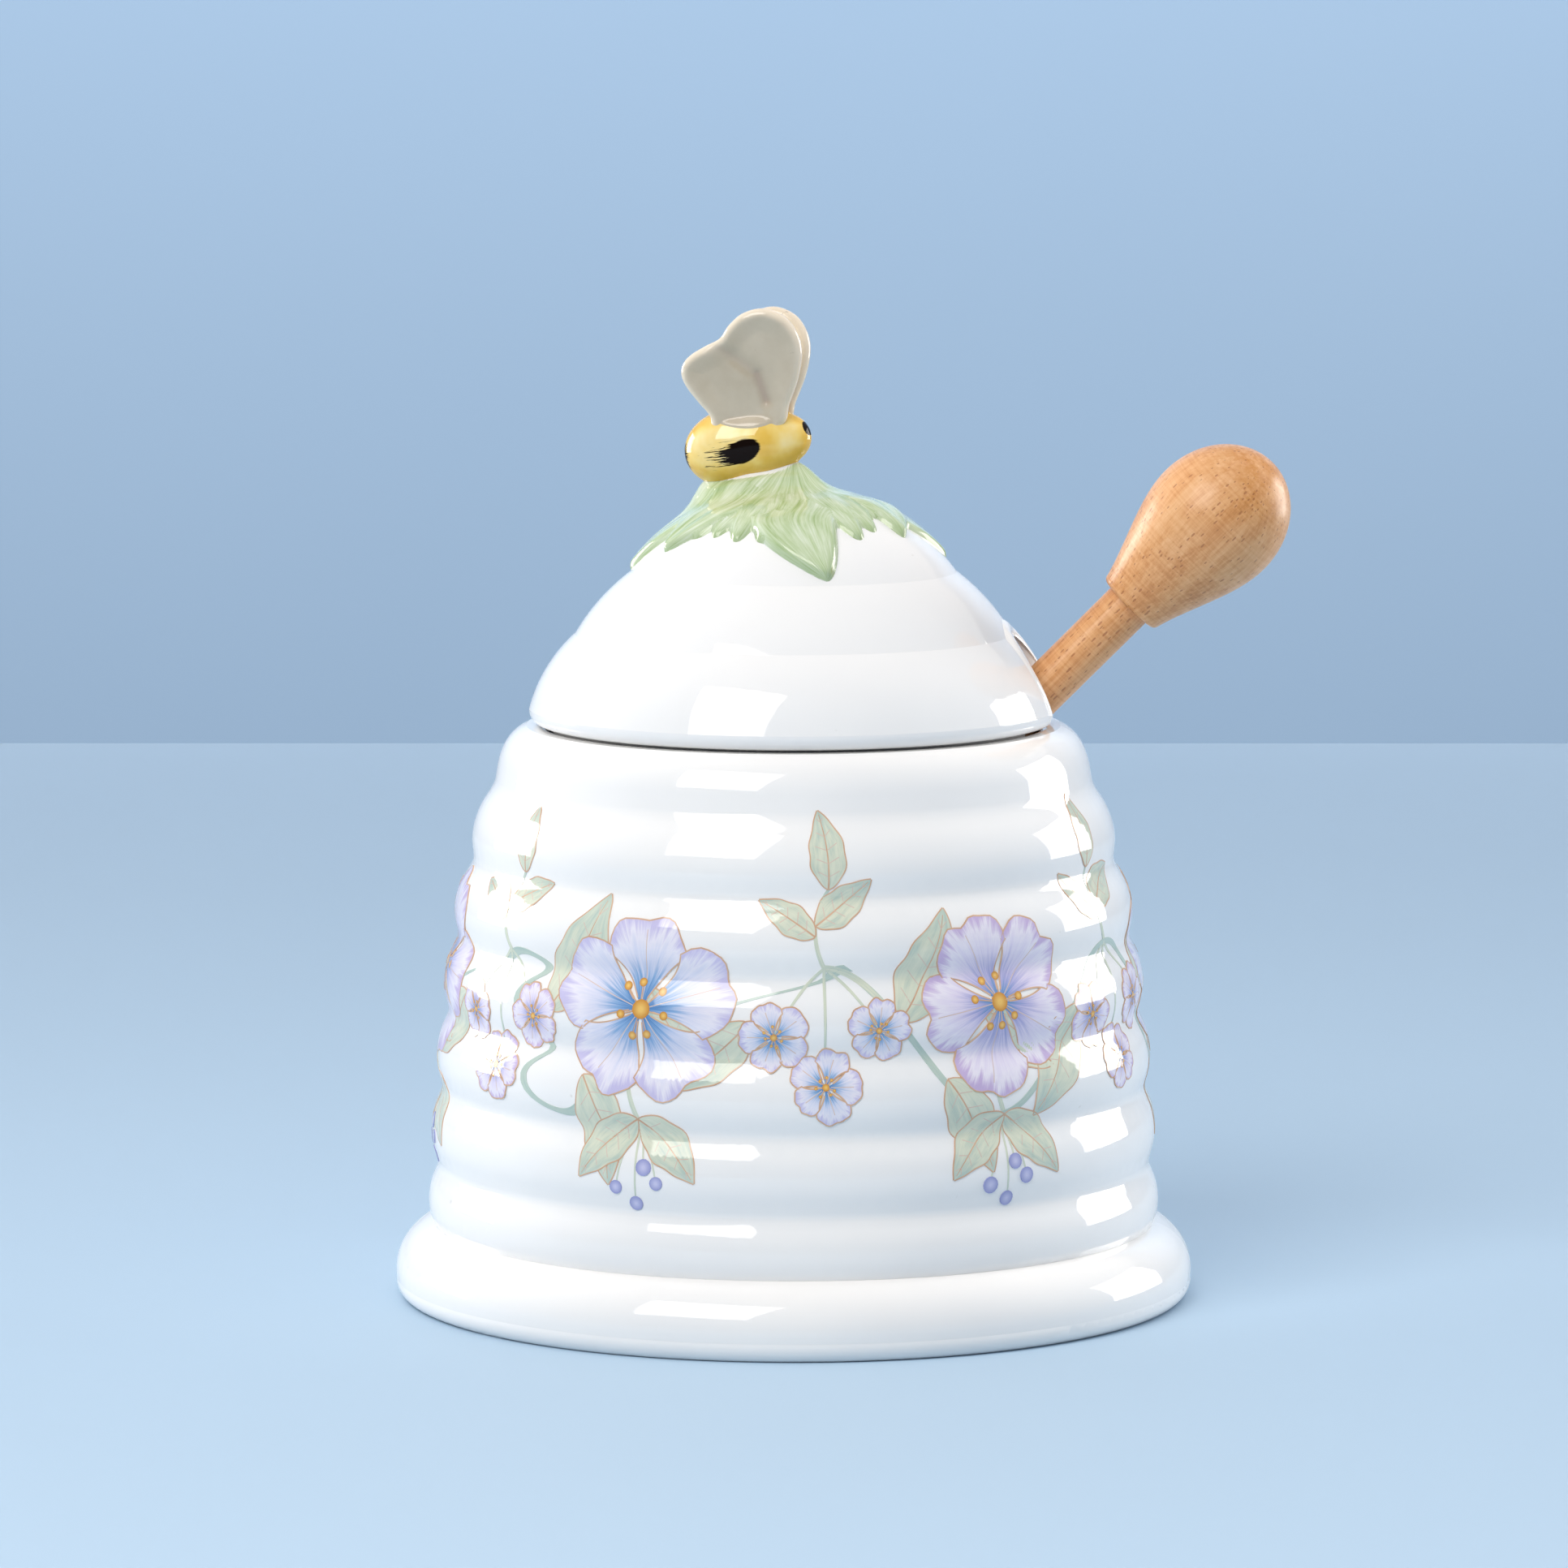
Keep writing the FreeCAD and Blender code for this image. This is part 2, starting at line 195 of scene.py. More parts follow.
# each end is drawn out towards the other one, to that share of its half length and with that roundness
bee_drawn_share = 1.35
bee_drawn_power = 0.9
bee_flank_share = 0.87
bee_tail_drop = 0.00015
bee_sink = 0.0056
bee_turn_steps = 120
bee_along_steps = 150
# black marks: the flank strokes' middle and half lengths along the bee, their place and half height round it
stroke_middle_share = 0.49
stroke_tail_share = 0.23
stroke_head_share = 0.155
stroke_turn_deg = 98.0
stroke_half_turn_deg = 21.0
stroke_slant = 0.25
rag_start_share = 0.12
rag_least_share = 0.05
eye_radius = 0.0012
eye_aside_deg = 8.0
eye_up_deg = 16.0
tail_mark_depth = 0.0007
# brush strokes along and round the bee, and where the yellow is painted deeper as shade: its place and width
# along the bee for the waist and the two ends, and its start and run in radians round it for the belly and
# the back
bee_stroke_shares = (4, 0.5)
waist_shares = (0.66, 0.09)
bee_end_shares = ((0, 0.05), (1, 0.06))
belly_turns = (1.75, 0.7)
back_turns = (-1.0, 0.5)
waist_shade_share = 0.55
bee_shade_share = 0.6

# Wings
wing_span = 0.0168
wing_reach = 0.0187
wing_thickness = 0.0021
wing_lean_deg = 8.5
wing_root_offset = 0.0021
wing_span_shares = (
    0.34, 0.43, 0.55, 0.62, 0.61, 0.53, 0.37, 0.19, 0.05, -0.045,
    -0.175, -0.315, -0.40, -0.425, -0.395, -0.325, -0.255, -0.25, 0.0,
)
wing_reach_shares = (
    0.11, 0.26, 0.45, 0.64, 0.79, 0.925, 1.01, 1.0, 0.925, 0.84,
    0.80, 0.75, 0.685, 0.60, 0.50, 0.38, 0.26, 0.07, -0.01,
)
wing_middle_shares = (0.06, 0.5)
# the fold between the lobes, whose last stretch is a crease
wing_fold_shares = ((-0.08, 0.80), (0.08, 0.655), (0.21, 0.53), (0.245, 0.32))
wing_fold_depth = 0.0003
wing_fold_width = 0.0011
# painted shade along the fold, as a share of the crease's
wing_fold_shade_share = 0.4
wing_outline_steps = 240
wing_ring_steps = 64
wing_rim = 0.0011
# painted highlight: width of the lighter band at the rims, as a share of the rim
wing_rim_highlight_share = 0.6
wing_recess = 0.00042
wing_recess_reach = 0.0030
wing_crease_depth = 0.00016
wing_crease_width = 0.0006
# the apron of glaze at the root, which lies on the bee down to an edge that sags round a middle
apron_low = 0.0026
apron_middle = 0.0025
apron_bend = 45.0
apron_rounds = 4
apron_rise = 0.0002
apron_width = 0.0003
near_wing_share = 1.0
far_wing_share = 0.985

# Print: the stretch of wall that it may cover, and its stack of thin layers
print_low = 0.0125
print_high = 0.0775
print_profile_steps = 520
print_lift = 0.00005
print_layer = 0.000007
print_leaf_layers = 5
print_petal_layers = 5
print_sink = 0.00006
print_stroke = 0.012
# a line lies half a layer over its wash, the stamens' lines and dots over all petals
line_layer_share = 0.5
stamen_layer = print_leaf_layers + print_petal_layers + 1
dot_layer = stamen_layer + 1
line_width = 0.0002
brush_shift = 4
brush_kinds = 20
wobble_phase = 6
# the vine's middle height, its swing, its waves round the pot and where the first crest lies
vine_middle = 0.0425
vine_swing = 0.0105
vine_waves = 6
vine_start = math.radians(-81.0)
vine_steps = 721
vine_seed = 11
stem_width = 0.0009
stem_steps = 16
stem_taper_share = 0.6
stem_tint = 0.8
# blossoms: ranges to draw from come as pairs of shares
blossom_radius = 0.0128
small_blossom_radius = 0.0048
blossom_tints = (0.9, 0.15)
blossom_rise_shares = (1.12, 1.3)
blossom_size_shares = (0.95, 1.06)
blossom_sag_share = 0.12
blossom_stem_share = 0.8
blossom_eye_share = 0.10
blossom_eye_tint = 0.2
# petals: the wobble of the end as sizes and waves, its rounded corners and the dip in its middle
petal_count = 5
petal_rows = 27
small_petal_rows = 13
petal_columns = 19
petal_start_share = 0.06
petal_length_shares = (0.93, 1.05)
petal_spread = math.radians(39)
petal_root_share = 0.62
petal_wobble_shares = ((0.018, 7), (0.012, 13))
petal_corner_share = 0.30
petal_corner_power = 3.0
petal_dip_share = 0.07
petal_dip_width_share = 0.17
petal_end_power = 1.5
petal_vein_share = 0.6
petal_vein_tint = 0.7
stamen_count = 7
stamen_steps = 5
stamen_swing_shares = (-0.3, 0.3)
stamen_reach_shares = (0.22, 0.31)
stamen_start_share = 0.3
stamen_line_share = 0.8
stamen_dot_share = 0.045
dot_rings = 4
dot_turn_steps = 15
dot_middle_share = 0.02
# printed leaves
print_leaf_length = 0.0175
print_leaf_half_share = 0.235
print_leaf_lean_power = 0.8
print_leaf_round_power = 0.85
print_leaf_wave_share = 0.05
print_leaf_waves = 19
print_leaf_least_share = 0.3
print_leaf_line_share = 0.9
print_rib_shares = (1.3, 0.5)
print_vein_share = 0.5
print_vein_reach_share = 0.85
print_vein_steps = 6
print_vein_tint = 0.6
leaf_rows = 37
leaf_columns = 9
leaf_vein_step = 6
# the vine's own leaves: their places along a wave and directions in radians, and the ranges that vary them
vine_leaf_shares = ((0.20, 0.85), (0.33, -0.95), (0.68, 2.3), (0.80, -2.25))
vine_leaf_sways = (-0.15, 0.15)
vine_leaf_length_shares = (0.8, 1.05)
vine_leaf_bends = (-0.6, 0.6)
# clusters of small blossoms, whose places are shares of a blossom's radius
cluster_shares = ((0.0, 1.25), (-0.55, 0.72), (0.58, 0.66))
cluster_size_shares = (0.9, 1.1)
cluster_sag_share = 0.1
cluster_stem_share = 0.5
# sprigs, with each leaf's place up the shoot and its direction
sprig_length = 0.0105
sprig_lean_shares = (-0.2, 0.2)
sprig_sag_share = 0.15
sprig_stem_share = 0.7
sprig_leaf_shares = ((1.0, 1.5), (0.55, 0.6), (0.45, 2.5))
sprig_leaf_length_shares = (0.5, 0.62)
sprig_leaf_bends = (-0.5, 0.5)
# sprays of berries, whose places are shares of a sprig's length
spray_shares = ((0.0, 1.1), (-0.28, 0.9), (0.3, 0.82), (0.12, 0.62))
spray_sag_share = 0.15
spray_stem_share = 0.4
spray_leaf_turns = (-0.55, -2.6)
spray_leaf_length_shares = (0.62, 0.75)
spray_leaf_bend = -0.5
berry_radius = 0.0011
berry_size_shares = (0.85, 1.15)
berry_tint = 2.0

# Looks: constants of the shaders, then scales, shares and colours of the patterns. Scales are waves per
# metre, or per unit of a brush stroke. A row of stops along a ramp gives each stop's place and colour.
porcelain_gloss = {"Roughness": 0.045, "IOR": 1.52}
paint_gloss = {"Roughness": 0.05, "IOR": 1.5}
print_gloss = {"Roughness": 0.05, "IOR": 1.52}
wood_gloss = {"IOR": 1.45, "Coat Weight": 0.3, "Coat Roughness": 0.22}
paper_gloss = {"Roughness": 0.75}
noise_middle = 0.5
paper_cloud_scale = 2.2
paper_cloud_share = 0.3
glaze_wave_scale = 55.0
glaze_wave_strength = 0.10
glaze_wave_height = 0.0006
porcelain_cloud_scale = 30.0
porcelain_stops = ((0.3, (0.87, 0.87, 0.87)), (0.7, (0.91, 0.905, 0.895)))
porcelain_speck_scale = 420.0
porcelain_speck_edge = (0.80, 0.84)
porcelain_speck_share = 0.25
porcelain_speck_colour = (0.45, 0.40, 0.34)
leaf_fine_scales = (24.0, 3.4, 1.0)
leaf_broad_scales = (5.0, 3.0, 1.0)
leaf_fine_share = 0.48
leaf_stops = (
    (0.33, (0.72, 0.79, 0.67)),
    (0.44, (0.60, 0.69, 0.49)),
    (0.54, (0.47, 0.58, 0.34)),
    (0.66, (0.30, 0.42, 0.17)),
)
# darker green in the creases and round the tips
leaf_dark_share = 0.6
leaf_dark_colour = (0.22, 0.33, 0.11)
leaf_rag_share = 0.9
leaf_cover_edge = (0.30, 0.62)
leaf_bare_colour = (0.88, 0.885, 0.88)
bee_cloud_scale = 330.0
bee_cloud_share = 0.6
# painted shade: how far it deepens the yellow
bee_shade_tone_share = 0.62
bee_stops = (
    (0.22, (0.95, 0.77, 0.37)),
    (0.42, (0.91, 0.66, 0.20)),
    (0.62, (0.83, 0.53, 0.10)),
    (0.85, (0.74, 0.44, 0.06)),
)
bristle_scales = (0.8, 26.0, 1.0)
bristle_middle = 0.52
bristle_reach = 4.2
stroke_edge = (-0.03, 0.10)
stroke_colour = (0.008, 0.004, 0.003)
shine_level = 0.5
stroke_shine_level = 0.1
wing_cloud_scale = 170.0
wing_inner_stops = ((0.3, (0.72, 0.62, 0.47)), (0.7, (0.80, 0.71, 0.57)))
# painted shade: the outer faces greyer than the inner ones
wing_outer_shade_stops = ((0.3, (0.51, 0.435, 0.325)), (0.7, (0.60, 0.525, 0.41)))
# painted shade: darker creases and fold
wing_crease_shade_share = 0.6
wing_crease_shade_colour = (0.40, 0.29, 0.23)
# painted highlight: the rims lighter
wing_rim_highlight_colour = (0.84, 0.73, 0.58)
wing_speck_scale = 900.0
wing_speck_edge = (0.77, 0.81)
wing_speck_share = 0.4
wing_speck_colour = (0.30, 0.24, 0.18)
# wood: scales across and along the grain
wood_drift_scales = (90.0, 90.0, 22.0)
wood_fibre_scales = (2100.0, 2100.0, 100.0)
wood_band_scales = (330.0, 110.0, 9.0)
wood_lathe_scales = (90.0, 90.0, 3000.0)
wood_mottle_scales = (520.0, 520.0, 520.0)
wood_drift_share = 0.20
wood_fibre_share = 0.30
wood_band_share = 0.36
wood_lathe_share = 0.20
wood_stops = (
    (0.40, (0.84, 0.49, 0.245)),
    (0.50, (0.765, 0.395, 0.17)),
    (0.58, (0.665, 0.305, 0.11)),
    (0.68, (0.52, 0.20, 0.058)),
)
wood_least_roughness = 0.34
wood_fibre_roughness = 0.22
wood_relief = 0.00015
wood_relief_strength = 0.35
wood_relief_share = 0.35
gold_start = 0.014
gold_full = 0.002
gold_edge = (0.36, 0.62)
gold_share = 0.8
gold_colour = (0.60, 0.235, 0.03)
pore_scales = (2000.0, 2000.0, 640.0)
pore_rarity = 0.70
pore_size_share = 0.36
pore_edge = (0.06, -0.03)
pore_share = 0.62
pore_colour = (0.34, 0.105, 0.03)
# print: washes from a petal's or leaf's root to its end
petal_wash_scales = (7.0, 1.6, 1.0)
petal_wash_share = 0.7
petal_fine_scales = (30.0, 2.0, 1.0)
petal_fine_share = 0.3
petal_blue_stops = (
    (0.10, (0.10, 0.25, 0.52)),
    (0.30, (0.22, 0.42, 0.68)),
    (0.52, (0.66, 0.70, 0.85)),
    (0.80, (0.82, 0.80, 0.89)),
    (1.00, (0.58, 0.56, 0.80)),
)
petal_purple_stops = (
    (0.08, (0.14, 0.30, 0.56)),
    (0.28, (0.42, 0.40, 0.68)),
    (0.55, (0.74, 0.67, 0.84)),
    (0.82, (0.84, 0.80, 0.89)),
    (1.00, (0.58, 0.45, 0.70)),
)
sage_wash_scales = (2.4, 2.6, 1.0)
sage_wash_share = 0.75
sage_fine_scales = (16.0, 3.0, 1.0)
sage_stops = ((0.30, (0.76, 0.77, 0.62)), (0.50, (0.66, 0.70, 0.57)), (0.70, (0.46, 0.57, 0.50)))
sage_tip_rag_share = 0.8
sage_tip_edge = (0.9, 1.5)
sage_tip_share = 0.5
sage_tip_colour = (0.33, 0.50, 0.50)
line_patch_scale = 300.0
line_stops = ((0.35, (0.70, 0.47, 0.32)), (0.65, (0.60, 0.37, 0.24)))
line_faint_share = 0.75
line_faint_colour = (0.74, 0.66, 0.66)
stamen_stops = ((0.2, (0.85, 0.55, 0.16)), (0.95, (0.62, 0.28, 0.06)))
berry_stops = ((0.1, (0.60, 0.60, 0.82)), (0.95, (0.32, 0.34, 0.62)))
berry_tint_edge = (1.4, 1.6)


def turn_matrix(degrees, axis):
    return Matrix.Rotation(math.radians(degrees), 4, axis)


bee_place = Matrix.Translation(bee_middle) @ turn_matrix(bee_yaw_deg, "Z") @ turn_matrix(-bee_pitch_deg, "Y")


# Curves and fields

def smooth_step(value):
    value = np.clip(value, 0, 1)
    return value * value * (3 - 2 * value)


def rise(value, start, run):
    """0 up to a start, 1 after a run and a smooth step between them."""
    return smooth_step((value - start) / run)


def bell(value, width):
    return np.exp(-((value / width) ** 2))


def arch(t):
    """0 at both ends and 1 in the middle."""
    return 4 * t * (1 - t)


def closed_loop(points, steps):
    """A smooth closed curve through points, as that many points along it."""
    points = np.asarray(points, float)
    count = len(points)
    made = []
    for step in range(steps):
        place = step * count / steps
        start = int(place)
        t = place - start
        a, b, c, d = (points[(start + shift) % count] for shift in (-1, 0, 1, 2))
        curve = 2 * b + (c - a) * t + (2 * a - 5 * b + 4 * c - d) * t**2
        made.append((curve + (3 * b - a - 3 * c + d) * t**3) / 2)
    return np.array(made)


def distance_to_line(points, line):
    """The distance from each point to a line through points."""
    least = np.full(len(points), np.inf)
    for start, end in zip(line[:-1], line[1:]):
        run = end - start
        share = np.clip((points - start) @ run / (run @ run), 0, 1)
        least = np.minimum(least, np.linalg.norm(points - start - share[:, None] * run, axis=1))
    return least


# Meshes

def surface_of(node):
    """A search tree over the surface of a solid."""
    mesh = nodes[node].data
    return BVHTree.FromPolygons([v.co for v in mesh.vertices], [p.vertices for p in mesh.polygons])


def joined_rings(first, second, columns):
    """Faces between two rings of points, given by the first point of each."""
    pairs = [(column, (column + 1) % columns) for column in range(columns)]
    return [(first + a, first + b, second + b, second + a) for a, b in pairs]


def ring_faces(rows, columns, first=0):
    """Faces over a row of rings that follow each other."""
    starts = [first + row * columns for row in range(rows)]
    return [face for a, b in zip(starts, starts[1:]) for face in joined_rings(a, b, columns)]


def fan_faces(pole, first, columns):
    """Faces from a pole to a ring."""
    return [(pole, first + column, first + (column + 1) % columns) for column in range(columns)]


def add_object(name, data):
    thing = bpy.data.objects.new(name, data)
    bpy.context.scene.collection.objects.link(thing)
    return thing


def smooth_mesh(name, vertices, faces, material):
    mesh = bpy.data.meshes.new(name)
    mesh.from_pydata([tuple(v) for v in vertices], [], faces)
    mesh.shade_smooth()
    mesh.materials.append(material)
    return mesh


def ride(name, mesh, body):
    """A mesh as a piece that rides on a body."""
    piece = add_object(name, mesh)
    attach(piece, body)
    return piece


def make_lid_piece(name, vertices, faces, material):
    """A closed mesh, with its faces turned outwards, as a piece of the lid."""
    mesh = smooth_mesh(name, vertices, faces, material)
    shape = bmesh.new()
    shape.from_mesh(mesh)
    bmesh.ops.recalc_face_normals(shape, faces=shape.faces)
    shape.to_mesh(mesh)
    shape.free()
    return ride(name, mesh, "lid")


def put_value(mesh, name, values):
    """A named number on every vertex."""
    layer = mesh.attributes.new(name, "FLOAT", "POINT")
    layer.data.foreach_set("value", np.asarray(values, np.float32))


def corner_vertices(mesh):
    """The vertex at each face corner."""
    corners = np.zeros(len(mesh.loops), int)
    mesh.loops.foreach_get("vertex_index", corners)
    return corners


def put_strokes(mesh, pairs):
    """A UV map of brush strokes from one pair of numbers for each vertex."""
    layer = mesh.uv_layers.new(name="strokes")
    layer.data.foreach_set("uv", np.asarray(pairs, np.float32)[corner_vertices(mesh)].ravel())


# Shaders

def add(tree, kind, inputs=None, **settings):
    """A node with its settings, and its inputs fed from fields or set; a constant colour is opaque."""
    node = tree.nodes.new(kind)
    for name, value in settings.items():
        setattr(node, name, value)
    for name, value in (inputs or {}).items():
        socket = node.inputs[name]
        if isinstance(value, Field):
            tree.links.new(value.socket, socket)
        else:
            socket.default_value = (*value, 1.0) if socket.type == "RGBA" else value
    return node


class Field:
    """A value in a shader, from which sums, products and the methods here make new ones."""

    def __init__(self, node, output):
        self.tree = node.id_data
        self.socket = node.outputs[output]

    def made(self, kind, inputs, output, **settings):
        return Field(add(self.tree, kind, inputs, **settings), output)

    def maths(self, operation, other):
        return self.made("ShaderNodeMath", {0: self, 1: other}, 0, operation=operation)

    def __add__(self, other):
        return self.maths("ADD", other)

    def __sub__(self, other):
        return self.maths("SUBTRACT", other)

    def __mul__(self, other):
        return self.maths("MULTIPLY", other)

    def stretched(self, scales):
        return self.made("ShaderNodeVectorMath", {0: self, 1: scales}, 0, operation="MULTIPLY")

    def part(self, axis):
        return self.made("ShaderNodeSeparateXYZ", {"Vector": self}, axis)

    def noise(self, scale=1.0, detail=3.0, roughness=0.55):
        inputs = {"Vector": self, "Scale": scale, "Detail": detail, "Roughness": roughness}
        return self.made("ShaderNodeTexNoise", inputs, "Fac")

    def step(self, low, high):
        """0 below low, 1 above high and a smooth step between them; low may be the larger."""
        inputs = {"Value": self, "From Min": low, "From Max": high}
        return self.made("ShaderNodeMapRange", inputs, "Result", interpolation_type="SMOOTHSTEP")

    def between(self, first, second):
        """A colour that passes from the first to the second one as this value goes from 0 to 1."""
        return self.made("ShaderNodeMix", {0: self, 6: first, 7: second}, 2, data_type="RGBA")

    def ramp(self, stops):
        """Colours along this value: each stop is a place and a colour."""
        node = add(self.tree, "ShaderNodeValToRGB", {"Fac": self})
        elements = node.color_ramp.elements
        while len(elements) < len(stops):
            elements.new(1.0)
        for element, (place, colour) in zip(elements, stops):
            element.position = place
            element.color = (*colour, 1.0)
        return Field(node, "Color")


class Paint:
    """A material whose constants stand on its shader's own sockets, and the sources of its patterns."""

    def __init__(self, name, gloss):
        self.material = bpy.data.materials.new(name)
        self.material.use_nodes = True
        self.tree = self.material.node_tree
        self.shader = self.tree.nodes["Principled BSDF"]
        for socket, value in gloss.items():
            self.shader.inputs[socket].default_value = value
        self.place = Field(add(self.tree, "ShaderNodeTexCoord"), "Object")

    def value(self, name):
        return Field(add(self.tree, "ShaderNodeAttribute", attribute_name=name), "Fac")

    def strokes(self):
        return Field(add(self.tree, "ShaderNodeUVMap", uv_map="strokes"), "UV")

    def feed(self, socket, field):
        self.tree.links.new(field.socket, self.shader.inputs[socket])

    def bump(self, height, strength, distance):
        inputs = {"Height": height, "Strength": strength, "Distance": distance}
        self.feed("Normal", height.made("ShaderNodeBump", inputs, "Normal"))

    def coloured(self, colour):
        self.feed("Base Color", colour)
        return self.material

    def glazed(self, colour):
        """The colour under a dipped glaze, whose slow waves bend the reflections a little."""
        self.bump(self.place.noise(glaze_wave_scale, detail=1.0), glaze_wave_strength, glaze_wave_height)
        return self.coloured(colour)


def porcelain():
    paint = Paint("white_porcelain", porcelain_gloss)
    white = paint.place.noise(porcelain_cloud_scale).ramp(porcelain_stops)
    specks = paint.place.noise(porcelain_speck_scale, detail=1.0).step(*porcelain_speck_edge)
    return paint.glazed((specks * porcelain_speck_share).between(white, porcelain_speck_colour))


def leaf_paint():
    """Thin green brushed along each leaf over white, darker in the creases and round the tips."""
    paint = Paint("leaf_glaze", paint_gloss)
    fine = paint.strokes().stretched(leaf_fine_scales).noise(detail=5.0, roughness=0.65)
    broad = paint.strokes().stretched(leaf_broad_scales).noise()
    green = (fine * leaf_fine_share + broad * (1 - leaf_fine_share)).ramp(leaf_stops)
    green = (paint.value("darkening") * leaf_dark_share).between(green, leaf_dark_colour)
    ragged = paint.value("paint") + (fine - noise_middle) * leaf_rag_share
    return paint.glazed(ragged.step(*leaf_cover_edge).between(leaf_bare_colour, green))


def bee_paint():
    """Golden yellow over white, deepened by painted shade, with near-black strokes that the brush left ragged
    at one end.
    """
    paint = Paint("bee_glaze", paint_gloss)
    cloud = paint.place.noise(bee_cloud_scale, detail=2.0) * bee_cloud_share
    # painted shade deepens the yellow
    yellow = (paint.value("darkening") * bee_shade_tone_share + cloud).ramp(bee_stops)
    bristles = paint.strokes().stretched(bristle_scales).noise(roughness=0.6)
    swing = (bristles - bristle_middle) * paint.value("rag")
    black = (swing * bristle_reach + paint.value("stroke")).step(*stroke_edge)
    paint.feed("Specular IOR Level", black * (stroke_shine_level - shine_level) + shine_level)
    return paint.glazed(black.between(yellow, stroke_colour))


def wing_paint():
    """Cream glaze with painted shade that greys the outer faces inside the rims and darkens the creases, and
    a painted highlight that lightens the rims.
    """
    paint = Paint("wing_glaze", paint_gloss)
    cloud = paint.place.noise(wing_cloud_scale, detail=4.0)
    face = paint.value("outer").between(cloud.ramp(wing_inner_stops), cloud.ramp(wing_outer_shade_stops))
    face = (paint.value("crease") * wing_crease_shade_share).between(face, wing_crease_shade_colour)
    face = paint.value("rim").between(face, wing_rim_highlight_colour)
    specks = paint.place.noise(wing_speck_scale, detail=1.0).step(*wing_speck_edge)
    return paint.glazed((specks * wing_speck_share).between(face, wing_speck_colour))


def beech(axis, end_place):
    """Turned beech, its grain along the dipper: fibres, lathe lines, short dark pores and a golden end."""
    paint = Paint("beech_wood", wood_gloss)
    turn = {"Vector": paint.place, "Axis": (0.0, 1.0, 0.0), "Angle": -math.atan2(axis.x, axis.z)}
    along = paint.place.made("ShaderNodeVectorRotate", turn, "Vector")
    drift = along.stretched(wood_drift_scales).noise(detail=2.0)
    fibre = along.stretched(wood_fibre_scales).noise(roughness=0.65)
    band = along.stretched(wood_band_scales).noise(detail=2.0)
    lathe = along.stretched(wood_lathe_scales).noise(detail=2.0)
    mottle = along.stretched(wood_mottle_scales).noise(detail=4.0, roughness=0.65)
    tone = band * wood_band_share + drift * wood_drift_share
    tone = tone + fibre * wood_fibre_share + lathe * wood_lathe_share
    gold = along.part("Z").step(end_place - gold_start, end_place - gold_full) * mottle.step(*gold_edge)
    wood = (gold * gold_share).between(tone.ramp(wood_stops), gold_colour)
    cell = {"Vector": along.stretched(pore_scales), "Scale": 1.0, "Randomness": 1.0}
    cells = add(paint.tree, "ShaderNodeTexVoronoi", cell)
    chosen = paint.place.made("ShaderNodeSeparateColor", {"Color": Field(cells, "Color")}, "Red")
    size = (chosen + drift - pore_rarity) * pore_size_share
    pore = (Field(cells, "Distance") - size).step(*pore_edge)
    paint.feed("Roughness", fibre * wood_fibre_roughness + wood_least_roughness)
    relief = fibre * wood_relief_share + lathe * wood_relief_share - pore
    paint.bump(relief, wood_relief_strength, wood_relief)
    return paint.coloured((pore * pore_share).between(wood, pore_colour))


def stage_paper(name, colour, far_colour):
    """Matt paper with a faint cloudiness, whose colour passes to another one towards the table's far edge: on
    the table a darker one, as painted shade.
    """
    paint = Paint(name, paper_gloss)
    cloud = (paint.place.noise(paper_cloud_scale) - noise_middle) * paper_cloud_share
    # painted shade: darker towards the table's far edge
    share = cloud + paint.place.part("Y").step(0.0, table_depth)
    return paint.coloured(share.ramp(((0.0, colour), (1.0, far_colour))))


def petal_paint():
    """Blue at the middle, lavender to white outwards, in thin brushed washes."""
    paint = Paint("print_petal", print_gloss)
    strokes = paint.strokes()
    wash = strokes.stretched(petal_wash_scales).noise() - noise_middle
    fine = strokes.stretched(petal_fine_scales).noise(detail=2.0) - noise_middle
    along = strokes.part("Y") + wash * petal_wash_share + fine * petal_fine_share
    blue, purple = along.ramp(petal_blue_stops), along.ramp(petal_purple_stops)
    return paint.glazed(paint.value("tint").between(blue, purple))


def sage_paint():
    """Pale sage washes, bluer towards the tip."""
    paint = Paint("print_leaf", print_gloss)
    strokes = paint.strokes()
    wash = strokes.stretched(sage_wash_scales).noise()
    fine = strokes.stretched(sage_fine_scales).noise(detail=2.0)
    tone = wash * sage_wash_share + fine * (1 - sage_wash_share)
    tip = (tone * sage_tip_rag_share + strokes.part("Y")).step(*sage_tip_edge)
    return paint.glazed((tip * sage_tip_share).between(tone.ramp(sage_stops), sage_tip_colour))


def line_paint():
    """The fine tan lines that bound the washes."""
    paint = Paint("print_line", print_gloss)
    dark = paint.place.noise(line_patch_scale, detail=2.0).ramp(line_stops)
    return paint.glazed((paint.value("tint") * line_faint_share).between(dark, line_faint_colour))


def stamen_paint():
    """Golden stamens and lilac berries, darker outwards."""
    paint = Paint("print_stamen", print_gloss)
    outward = paint.strokes().part("Y")
    berry = paint.value("tint").step(*berry_tint_edge)
    return paint.coloured(berry.between(outward.ramp(stamen_stops), outward.ramp(berry_stops)))


# Camera, stage and lights

def make_camera():
    turn = math.radians(camera_turn_deg)
    camera = bpy.data.cameras.new("camera")
    camera.lens = lens_mm
    camera.sensor_width = sensor_mm
    rig = add_object("camera", camera)
    rig.location = (camera_distance * math.sin(turn), -camera_distance * math.cos(turn), camera_height)
    drop = math.pi / 2 - math.radians(camera_drop_deg)
    rig.rotation_euler = (drop, 0, turn + math.radians(camera_aside_deg))
    bpy.context.scene.camera = rig


def make_sheet(name, outline, material):
    """A sheet as wide as the stage along an outline of depths and heights, square to the camera."""
    vertices = [(side * stage_half_width, y, z) for y, z in outline for side in (-1, 1)]
    faces = [(2 * i, 2 * i + 1, 2 * i + 3, 2 * i + 2) for i in range(len(outline) - 1)]
    sheet = add_object(name, smooth_mesh(name, vertices, faces, material))
    sheet.rotation_euler = (0, 0, math.radians(camera_turn_deg))
    return sheet


